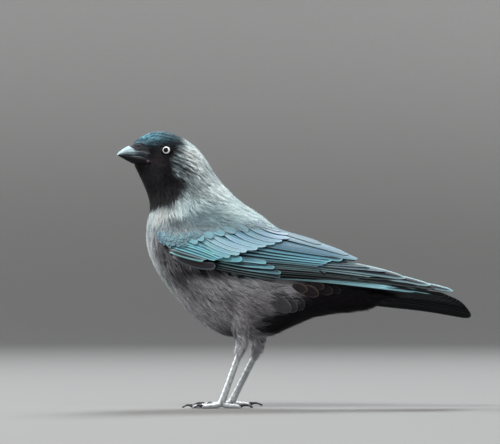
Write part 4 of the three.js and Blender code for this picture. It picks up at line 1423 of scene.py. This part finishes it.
def layRow(name, row, replaced=(), out=0):  # out is the wing's side; without it the row is the tail's
    row = {**rowKinds[row["kind"]], **row}
    template, count = row["template"], row.get("count", len(row["roots"]))
    s, q = template.s, template.q
    order = np.linspace(0, 1, count)
    half = np.interp(order, np.linspace(0, 1, len(row["half"])), row["half"])[:, None]
    half = half * (1 + vaneShape["widthJitter"] * rng.normal(size=(count, 1)).clip(-1.5, 1.5))
    line = np.stack([rowOf(count, row[key]) for key in ("roots", "middles", "tips")], 1)
    length = np.linalg.norm(np.diff(line, axis=1), axis=2).sum(1)[:, None]
    ahead = unit(line[:, 2] - line[:, 1])
    upward = np.stack([-ahead[:, 1], ahead[:, 0]], -1)
    line[:, 2] -= upward * 2 * half * (row["tipAt"] - row["lineAt"])

    def centre(s):
        flat = np.einsum("mk,nkd->nmd", bow(s), line)
        if not out:
            return np.concatenate([flat, np.zeros(flat.shape[:2] + (1,))], -1)
        middle, halfHigh, halfWide = np.moveaxis(wingForm(flat[..., 0]), -1, 0)
        c = np.clip((flat[..., 1] - middle) / halfHigh, -0.985, 0.985)
        return np.stack([flat[..., 0], halfWide * np.sqrt(1 - c ** 2), flat[..., 1]], -1)

    def rounding(size):
        t = np.clip(1 - (1 - s) * length / (size * half), 0, 1)
        return np.sqrt(np.maximum(1 - t ** 2, 0.0009))

    low = row["tipAt"] * (1 - rounding(row["tip"][0]))
    narrow = 0.5 + 0.5 * smoothStep(s, -0.05, 0.25)
    high = row["tipAt"] + (1 - row["tipAt"]) * rounding(row["tip"][1]) * narrow
    width = (high - low) * 2 * half
    fromLow, fromHigh = width * (q + 1) / 2, width * (1 - q) / 2
    toEdge = np.minimum(np.minimum(fromLow, fromHigh), (1 - s) * length * 0.8)
    lateral = (low - row["lineAt"]) * 2 * half + fromLow
    place, way = centre(s), unit(centre(s + 0.01) - centre(s - 0.01))
    if out:  # across leads towards the back, or towards the tail's middle
        across = unit(np.cross(way, ontoWing(place, np.zeros(place.shape[:2]))[1]))
        depth = between(row["depth"], order)[:, None] * (1 - 0.75 * s ** 2)
    else:
        across = unit(np.cross((0, 0, 1), way)) * np.where(line[:, 2:, 1:] > 0, -1, 1)
        depth = row["fall"] * np.abs(2 * order - 1)[:, None]
    height = -depth - row["tilt"] * q - vaneShape["arch"] * q ** 2 * half
    height = height - vaneShape["thickness"] * template.lower - row["sink"] * (1 - s) ** 2
    height = height + vaneShape["curl"] * rng.normal(size=(count, 1)) * s ** 3
    points = place + across * lateral[..., None]
    points = ontoWing(points, height)[0] * (1, out, 1) if out else ontoTail(points, height)

    # the lower strip is painted lit and the rest, in most rows, painted darker as the shade under the feather
    # above
    litWidth = np.interp(s, *np.array(row["webWidth"], float).T)
    lit = (1 - smoothStep(fromLow, litWidth * 0.8, litWidth * 1.2))[..., None]
    web, inner = shades(count, row["web"]), shades(count, row["inner"])
    tint = inner + (web * between(row["fade"], s)[:, None] - inner) * lit
    if "top" in row:
        topWeb = (1 - smoothStep(fromHigh, *vaneShape["topWeb"])) * smoothStep(s, 0.5, 0.75)
        tint = tint + (shades(count, row["top"]) - tint) * topWeb[..., None]
    tint = tint * (1 + vaneShape["toneJitter"] * rng.normal(size=(count, 1, 1)))
    vaneUv = np.stack([0.5 + (fromLow / (2 * half) - row["shaftAt"]) / 1.2, s * length], -1)
    column = (np.arange(count)[:, None] + 0.5 + q * 0.45) / count
    bakeUv = np.stack(np.broadcast_arrays(column, s * 0.47 + 0.5 * template.lower + 0.01), -1)
    piece = joinedMesh(name, toWorld(points), template, tint, vaneUv, bakeUv, 1 - toEdge / 2)
    if out < 0:
        piece.data.flip_normals()
    wearPiece(piece, row["material"], replaced)


for side, out in sides.items():
    for name, row in wingRows.items():
        layer = wingReplaces.get(name)
        layRow(f"{name}_{side}", row, [f"wing_{side}_{layer}"] if layer else (), out)
layRow("rectrices", tailRow, ["tail"])
print("wings and tail laid")


# Small feathers: how they stray, where their round end begins, how far tip and root lie above and below the
# form, their thickness and camber, and how the edge's colour sets in towards the rim.
smallShapes = {
    "covert": {"jitter": 0.12, "round": 0.45, "tip": 0.25, "root": 0.6, "thick": 0.1, "camber": 0.08,
               "edge": (0.3, 0.9)},
    "side": {"jitter": 0.02, "round": 0.5, "tip": 0.7, "root": 1.2, "thick": 0.15, "camber": 0.06,
             "edge": (0.5, 0.75)},
}
smallCoverts = {
    "lesser": (5.0, 1.7),       # length and half width at the bend of the wing
    "median": (8.0, 2.6),       # the same next to the median coverts
    "from": -62.0,
    "to": -24.0,
    "lengthJitter": 0.1,
    "heightJitter": 0.08,
    "toneJitter": 0.1,
    "colour": (98, 130, 140),
    "edge": (116, 147, 156),
}
# Single round feathers on the bird's sides: root and tip (x, z), half width, colour and edge.
sideFeathers = {
    "flank": [
        ((29, 90.5), (44, 75.5), 6.3, (70, 68, 73), (108, 109, 115)),
        ((36.5, 91.5), (50.5, 77.5), 6.2, (54, 52, 57), (94, 95, 101)),
        ((44, 93), (57.5, 80), 6.0, (36, 34, 38), (76, 76, 82)),
    ],
    "vent": [
        ((47, 100), (59, 95.4), 3.7, (38, 33, 32), (92, 82, 78)),
        ((54, 98.2), (68.5, 92), 4.7, (32, 27, 27), (98, 86, 80)),
        ((60, 100), (72.5, 95.6), 3.4, (28, 24, 24), (84, 74, 70)),
        ((66, 97.6), (79.5, 91.6), 4.3, (25, 21, 21), (82, 72, 68)),
        ((74, 98.6), (87, 94), 3.5, (20, 18, 18), (58, 52, 51)),
    ],
}
sideStep = 0.25  # each feather of a side row stands this much prouder than the one behind it


# Lift and colours are functions, called in this order, because they draw random numbers.
def laySmall(name, roots, lengths, half, shape, material, lift, colours, boldRim, aims=None):
    shape, s, q = smallShapes[shape], scaleVane.s, scaleVane.q
    paths, normals = layPaths(roots, lengths, shape["jitter"], aims)
    place, way, normal, across = followPaths(paths, normals, s)
    end = np.clip((s - shape["round"]) / (1 - shape["round"]), 0, 1)
    outline = np.sqrt(np.maximum(1 - end ** 2, 0.0016)) * (0.5 + 0.5 * smoothStep(s, 0, 0.4)) * half
    lateral = q * outline
    height = shape["tip"] * s - shape["root"] * (1 - s) - shape["thick"] * scaleVane.lower
    height = height - shape["camber"] * lateral ** 2 / half + lift()
    toEdge = np.minimum((1 - np.abs(q)) * outline, (1 - s) * lengths[:, None])
    rim = 1 - toEdge / 2
    tint = colours(smoothStep(rim, *shape["edge"]), s)
    points = offPaths(place, across, normal, lateral, height)
    maps = vaneMap(scaleVane, lengths), bakeMap(scaleVane, roots, q * 0.4)
    piece = joinedMesh(name, points, scaleVane, tint, *maps, rim * boldRim)
    wearPiece(piece, material)


def laySmallCoverts(name, roots, material):
    look, count = smallCoverts, len(roots)
    along = smoothStep(toBird(roots)[:, 0], look["from"], look["to"])
    lengths, half = (between(pair, along) for pair in zip(look["lesser"], look["median"]))
    lengths = lengths * (1 + look["lengthJitter"] * rng.normal(size=count).clip(-2, 2))

    def lift():
        return look["heightJitter"] * rng.normal(size=(count, 1))

    def colours(edge, s):
        tone = 1 + look["toneJitter"] * rng.normal(size=(count, 1, 1)).clip(-1.5, 1.5)
        tint = between((srgb(*look["colour"]), srgb(*look["edge"])), edge[..., None])
        return tint * tone * (0.7 + 0.3 * s)[:, None]

    laySmall(name, roots, lengths, half[:, None], "covert", material, lift, colours, 1)


def laySideFeathers(name, rows, out, material):
    roots, tips, half, shade, edge = (np.array(values, float) for values in zip(*rows))
    starts = [Vector(toWorld((x, out * 90, z))) for x, z in roots]
    aims = unit(np.insert(tips - roots, 1, 0, axis=1))
    lengths = np.linalg.norm(tips - roots, axis=1)
    hits = np.array([outer.tree.ray_cast(start, Vector((0, -out, 0)))[0] for start in starts])
    pair = [np.array([srgb(*colour) for colour in colours])[:, None] for colours in (shade, edge)]

    def lift():
        return np.arange(len(rows))[::-1, None] * sideStep

    def colours(mask, s):
        return between(pair, (mask * (0.35 + 0.65 * smoothStep(s, 0.5, 0.9)))[..., None])

    laySmall(name, hits, lengths, half[:, None], "side", material, lift, colours, 0, aims)


scaleMaterial = vaneMaterial("scaleVane", 0.2, 0.6, 0.4, 0.12)
for side, out in sides.items():
    mine = toBird(shoulderRoots)[:, 1] * out > 0
    laySmallCoverts("smallCoverts_" + side, shoulderRoots[mine], scaleMaterial)
    laySideFeathers("flankFeathers_" + side, sideFeathers["flank"], out, softVane)
    laySideFeathers("ventFeathers_" + side, sideFeathers["vent"], out, softVane)


# The bill's horn and the claws.
bill = {
    "voxel": 0.26,
    "rounds": 4,
    "dark": (22, 22, 26),
    # pale is a painted reflection on the black horn, flank the same reflection greyer towards the base
    "flank": (66, 74, 83),
    "pale": (150, 171, 178),
    "gape": (150, 120, 116),
    "gapeSpot": (-74.2, 200.7),
    "streakScale": (260, 1500, 2200),
}
claw = {"colour": (28, 28, 32)}
hornLooks = {"paleHorn": (0.4, 0.3), "darkHorn": (0.5, 0.12), "clawHorn": (0.3, 0.4)}  # roughness and shine
# Along x: the horn's width as a share of its body's, how far its ridge and cutting edge are lowered, and
# where the body's own cutting edge and ridge lie.
billWider = curveThrough([(-88, 1), (-84, 1.1), (-80, 1.3), (-76, 1.45), (-74, 1.5), (-70, 1.45)])
ridgeDrop = curveThrough([(-98.5, 1.5), (-95.6, 1.9), (-92.2, 1.3), (-88, 0.5), (-84, 0.1), (-82, 0)])
edgeDrop = curveThrough([(-98.5, 1.3), (-95, 0.95), (-84, 0.8), (-78, 0.7), (-72, 0.6)])
tomium = curveThrough([(-98.5, 206.4), (-92, 206.6), (-83.5, 206), (-77, 204.8), (-72, 202.5)])
ridge = curveThrough([(-98.5, 207.2), (-96, 210.5), (-93, 212.3), (-91, 213.6), (-87, 214.4), (-72, 213.5)])
reflectionEnd = curveThrough([  # z, x: the painted reflection on the top lies ahead of it
    (206, -74), (207.5, -75), (208.5, -77.5), (210, -83), (211, -84.5), (213, -88), (216, -90),
])


def hornMaterial(name):
    shader = Shader(name)
    roughness, shine = hornLooks[name]
    place = shader.places()
    streaks = shader.noise(shader.stretched(place, bill["streakScale"]), 1.0, 4)
    fine = shader.noise(place, 3200, 2)
    tint = shader.attribute("tint", "Color")
    colour = shader.mix(streaks.over(0.35, 0.75) * 0.5, tint, (0.9, 0.95, 1.0), "SOFT_LIGHT")
    colour = shader.mix((1 - streaks).over(0.45, 0.7) * 0.35, colour, (0.012, 0.013, 0.016))
    colour = shader.mix(fine.over(0.6, 0.75) * 0.2, colour, (0.012, 0.012, 0.013))
    relief = shader.bump(streaks + fine * 0.4, 0.3, 0.00012)
    shader.set(BaseColor=colour, Roughness=streaks * 0.18 + roughness, Normal=relief, SpecularIORLevel=shine)
    return shader.material


def billColour(p, high):  # nearly black horn, with a painted reflection pale over the top of the upper half
    x, z = p[:, 0], p[:, 2]
    up = z - tomium(x)
    flank, pale = srgb(*bill["flank"]), srgb(*bill["pale"])
    colour = np.tile(srgb(*bill["dark"]), (len(p), 1))
    if high:
        # the top of the upper half is painted pale as a reflection on the black horn, brightest along the
        # ridge and in a line above the cutting edge
        upper = between((pale, flank), smoothStep(x, -87, -80)[:, None])
        upper = blend(upper, pale, 0.35 * smoothStep(z - 0.2 * (x + 98), 208.5, 211))
        colour = blend(colour, upper, smoothStep(up, 0.1, 0.9) * smoothStep(x - reflectionEnd(z), 1.5, -0.5))
        line = smoothStep(np.abs(up - 0.7), 0.5, 0.1) * smoothStep(x, -94, -90) * smoothStep(x, -77, -80)
        colour = blend(colour, pale * 0.7, line * 0.6)
    else:
        # a painted highlight along the top edge of the lower half
        lowerEdgeHighlight = smoothStep(np.abs(up + 0.8), 0.8, 0.2) * smoothStep(x, -88, -84) * smoothStep(x, -75, -79)
        colour = blend(colour, pale, lowerEdgeHighlight * 0.4)
    gapeX, gapeZ = bill["gapeSpot"]
    return blend(colour, srgb(*bill["gape"]), 0.75 * np.exp(-((x - gapeX) ** 2 + (z - gapeZ) ** 2) / 0.6))


def makeBill():
    for name, horn in zip(form["billNodes"], ("paleHorn", "darkHorn")):
        high = name == "bill_upper"
        solid = remeshed(name + "_horn", [copyOfNodes([name])], bill["voxel"], bill["rounds"])
        p = straightened(placesOf(solid.verts))
        colour = billColour(p, high)
        x = p[:, 0]
        p[:, 1] *= billWider(x)
        if high:
            up = np.clip((p[:, 2] - tomium(x)) / (ridge(x) - tomium(x)), 0, 1)
            p[:, 2] -= ridgeDrop(x) * up + edgeDrop(x) * (1 - up)
        movePoints(solid, toWorld(turnHead(p)))
        piece = newObject(name + "_horn", solid)
        giveColour(piece.data, "tint", colour)
        wearPiece(piece, hornMaterial(horn), [name])


def makeClaws():
    claws = [f"claw_{side}_{toe}" for side in sides for toe in toeNames]
    solid = copyOfNodes(claws)
    bmesh.ops.subdivide_edges(solid, edges=solid.edges[:], cuts=1, smooth=1.0, use_grid_fill=True)
    bmesh.ops.recalc_face_normals(solid, faces=solid.faces[:])
    for vert in solid.verts:
        vert.co.z = max(vert.co.z, 0)
    piece = newObject("claws", solid)
    giveColour(piece.data, "tint", np.tile(srgb(*claw["colour"]), (len(piece.data.vertices), 1)))
    wearPiece(piece, hornMaterial("clawHorn"), claws)


makeBill()
makeClaws()


# The eyes and their lids.
eye = {
    "pupil": 23.0,              # angles from the eye's axis, degrees
    "iris": 34.5,
    "pupilAhead": 0.1,          # how far the pupil sits ahead of the iris's middle, in eye radii
    "shift": (0.8, 0, -1.6),    # millimetres from the middle of the eye's body
    "cornea": 0.35,             # how far the clear front swells, millimetres
    "axis": (-0.25, 0.965, 0.06),
    "irisColour": (250, 253, 254),
    "rayColour": (150, 164, 172),
    "limbusColour": (70, 78, 86),
}
lids = {
    "profile": [(34, 5.2), (35, 5.45), (39, 5.7), (46, 5.78), (56, 5.6), (68, 5.15)],  # angle, radius
    "droop": 0.35,              # how far the upper lid hangs over the iris, millimetres
    "spread": 0.10,             # how much the opening is drawn out towards its corners
    "unit": 4.0,
    "thickness": 0.25,
    "colours": ((6, 6, 8), (17, 17, 20)),
    "foldScale": (900, 900, 2600),
}


def eyeMaterial():
    shader = Shader("eyeball")
    angle, pupil, around = (shader.attribute(name) for name in ("gazeAngle", "pupilAngle", "gazeRound"))
    polar = shader.add("ShaderNodeCombineXYZ", {}, {0: around * 9.0, 1: angle * 0.03})
    rays = shader.noise(polar, 1.0, 4, 0.7)
    edge = eye["iris"]
    iris = shader.mix(rays.over(0.3, 0.75) * 0.3, srgb(*eye["irisColour"]), srgb(*eye["rayColour"]))
    iris = shader.mix(angle.over(edge - 2.0, edge) * 0.4, iris, srgb(*eye["limbusColour"]))
    colour = shader.mix(pupil.over(eye["pupil"] - 0.8, eye["pupil"] + 0.8), (0.003, 0.003, 0.004), iris)
    colour = shader.mix(angle.over(edge - 0.5, edge + 0.8), colour, (0.006, 0.006, 0.007))
    shader.set(BaseColor=colour, Roughness=0.2, SpecularIORLevel=0.1, CoatWeight=0.3, CoatRoughness=0.02)
    return shader.material


def lidMaterial():
    shader = Shader("lidSkin")
    folds = shader.noise(shader.stretched(shader.places(), lids["foldScale"]), 1.0, 4, 0.65)
    colour = shader.mix(folds, *(srgb(*shade) for shade in lids["colours"]))
    relief = shader.bump(folds, 0.5, 0.00015)
    shader.set(BaseColor=colour, Roughness=0.6, Normal=relief, SpecularIORLevel=0.12)
    return shader.material


def makeEyeball(side, middle, radius, gaze, toGaze, material):
    bm = bmesh.new()
    bmesh.ops.create_uvsphere(bm, u_segments=64, v_segments=48, radius=radius)
    co = placesOf(bm.verts) / radius
    angle = np.degrees(np.arccos(np.clip(co[:, 2], -1, 1)))
    swell = eye["cornea"] * mm * np.clip(1 - (angle / eye["iris"]) ** 2, 0, 1)
    movePoints(bm, co * (radius + swell)[:, None])
    bmesh.ops.transform(bm, matrix=toGaze, verts=bm.verts)
    bmesh.ops.translate(bm, verts=bm.verts, vec=middle)
    piece = newObject("eyeball_" + side, bm)
    seen = unit(placesOf(piece.data.vertices) - middle)
    ahead = unit(gaze - (eye["pupilAhead"], 0, 0))
    giveValue(piece.data, "gazeAngle", angle)
    giveValue(piece.data, "pupilAngle", np.degrees(np.arccos(np.clip(seen @ ahead, -1, 1))))
    giveValue(piece.data, "gazeRound", np.abs(np.arctan2(co[:, 1], co[:, 0])))
    wearPiece(piece, material, [f"eye_{side}"])


def makeLids(side, middle, gaze, toGaze, material):
    bm = bmesh.new()
    radians = [(math.radians(angle), radius * mm) for angle, radius in lids["profile"]]
    spinProfile(bm, [(math.sin(a) * radius, math.cos(a) * radius) for a, radius in radians], 64)
    bmesh.ops.transform(bm, matrix=toGaze, verts=bm.verts)
    level = Vector(np.cross((0, 0, 1), gaze)).normalized()
    for vert in bm.verts:
        sideways = vert.co.dot(level)
        vert.co += level * sideways * lids["spread"] * abs(sideways) / (lids["unit"] * mm)
        vert.co.z -= lids["droop"] * mm * max(vert.co.z / (lids["unit"] * mm), 0)
    bmesh.ops.translate(bm, verts=bm.verts, vec=middle)
    bmesh.ops.recalc_face_normals(bm, faces=bm.faces[:])
    piece = newObject("lids_" + side, bm)
    thick = piece.modifiers.new("thickness", "SOLIDIFY")
    thick.thickness, thick.offset = lids["thickness"] * mm, -1
    soft = piece.modifiers.new("soft", "SUBSURF")
    soft.levels = soft.render_levels = 1
    wearPiece(piece, material)


def makeEyes():
    ball, lidSkin = eyeMaterial(), lidMaterial()
    for side, out in sides.items():
        low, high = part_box(f"eye_{side}")
        middle = np.array((low + high) / 2) + np.array(eye["shift"]) * mm
        x, y, z = eye["axis"]
        gaze = unit(np.array([*spun(x, y * out, bird["headTurn"]), z]))
        toGaze = Vector(gaze).to_track_quat("Z", "Y").to_matrix().to_4x4()
        makeEyeball(side, middle, (high.z - low.z) / 2, gaze, toGaze, ball)
        makeLids(side, middle, gaze, toGaze, lidSkin)


makeEyes()


# The bristles over the nostrils.
bristles = {
    "vane": fan(1, 5, 3, 0.22),
    "length": (2.0, 10.0),
    "half": 0.6,
    "spacing": 0.75,
    "heights": (205.4, 215.2),
    "start": 1.2,               # how far behind the front edge they start
    "lengthJitter": 0.08,
    "turnJitter": 0.06,
    "stray": 0.3,
    "bulge": 0.75,
    "rise": 0.05,               # they lean towards the height below
    "level": 213,
    "colours": ((46, 45, 51), (128, 131, 142)),
}
bristleFront = curveThrough([  # z, x
    (205, -74), (206.2, -77), (207.4, -82.5), (209, -85), (212.6, -87.4), (214, -85.5), (215.4, -82),
])
bristleBack = curveThrough([(205, -71), (206.8, -70), (211, -69.5), (213.5, -70.5), (215.4, -75)])  # z, x


def bristleRoots():
    x, y, z = straightened(outer.faceMiddles).T
    low, high = bristles["heights"]
    behind = x < bristleBack(z) + rng.normal(size=len(x))
    inside = (x > bristleFront(z) + bristles["start"]) & behind & (z > low) & (z < high)
    candidates = outer.faceMiddles[inside]
    kept = []
    for place in candidates[rng.permutation(len(candidates))]:
        if all(np.linalg.norm(place - other) > bristles["spacing"] * mm for other in kept):
            kept.append(place)
    return np.array(kept)


def layBristles():
    roots, template = bristleRoots(), bristles["vane"]
    count, s = len(roots), template.s

    def perBlade(values):
        return values[:, template.blade]

    x, y, z = straightened(roots).T
    lengths = (x - bristleFront(z)).clip(*bristles["length"])
    lengths = lengths * (1 + bristles["lengthJitter"] * rng.normal(size=count).clip(-2, 1))
    aims = np.stack([-np.ones(count), np.zeros(count), bristles["rise"] * (bristles["level"] - z)], 1)
    paths, normals = layPaths(roots, lengths, bristles["turnJitter"], aims)
    place, way, normal, across = followPaths(paths, normals, s)
    narrow = np.clip(1 - s ** 2, 0.08, 1) * (0.25 + 0.75 * smoothStep(s, 0, 0.3))
    lateral = (template.centre * 0.8 + template.q * template.bladeHalf * narrow) * bristles["half"]
    lateral = lateral + bristles["stray"] * perBlade(rng.normal(size=(count, template.blades))) * s
    bulge = bristles["bulge"] + bristles["stray"] * perBlade(rng.normal(size=(count, template.blades)))
    height = -1.5 * (1 - s) ** 3 + bulge * np.sin(s * 2.4)
    mixed = perBlade(rng.random((count, template.blades)))[..., None] ** 2
    tint = between([srgb(*shade) for shade in bristles["colours"]], mixed)
    hind = smoothStep(x, -72, -80)[:, None]
    tint = tint * (0.2 + 0.8 * smoothStep(s, 0, 0.4 + 0.3 * (1 - hind)) * (0.3 + 0.7 * hind))[..., None]
    points = offPaths(place, across, normal, lateral, height)
    maps = vaneMap(template, lengths), bakeMap(template, roots, template.centre * 0.4 + template.q * 0.1)
    wearPiece(joinedMesh("nasalBristles", points, template, tint, *maps), softPlumage)
    print("bristles:", count)


layBristles()
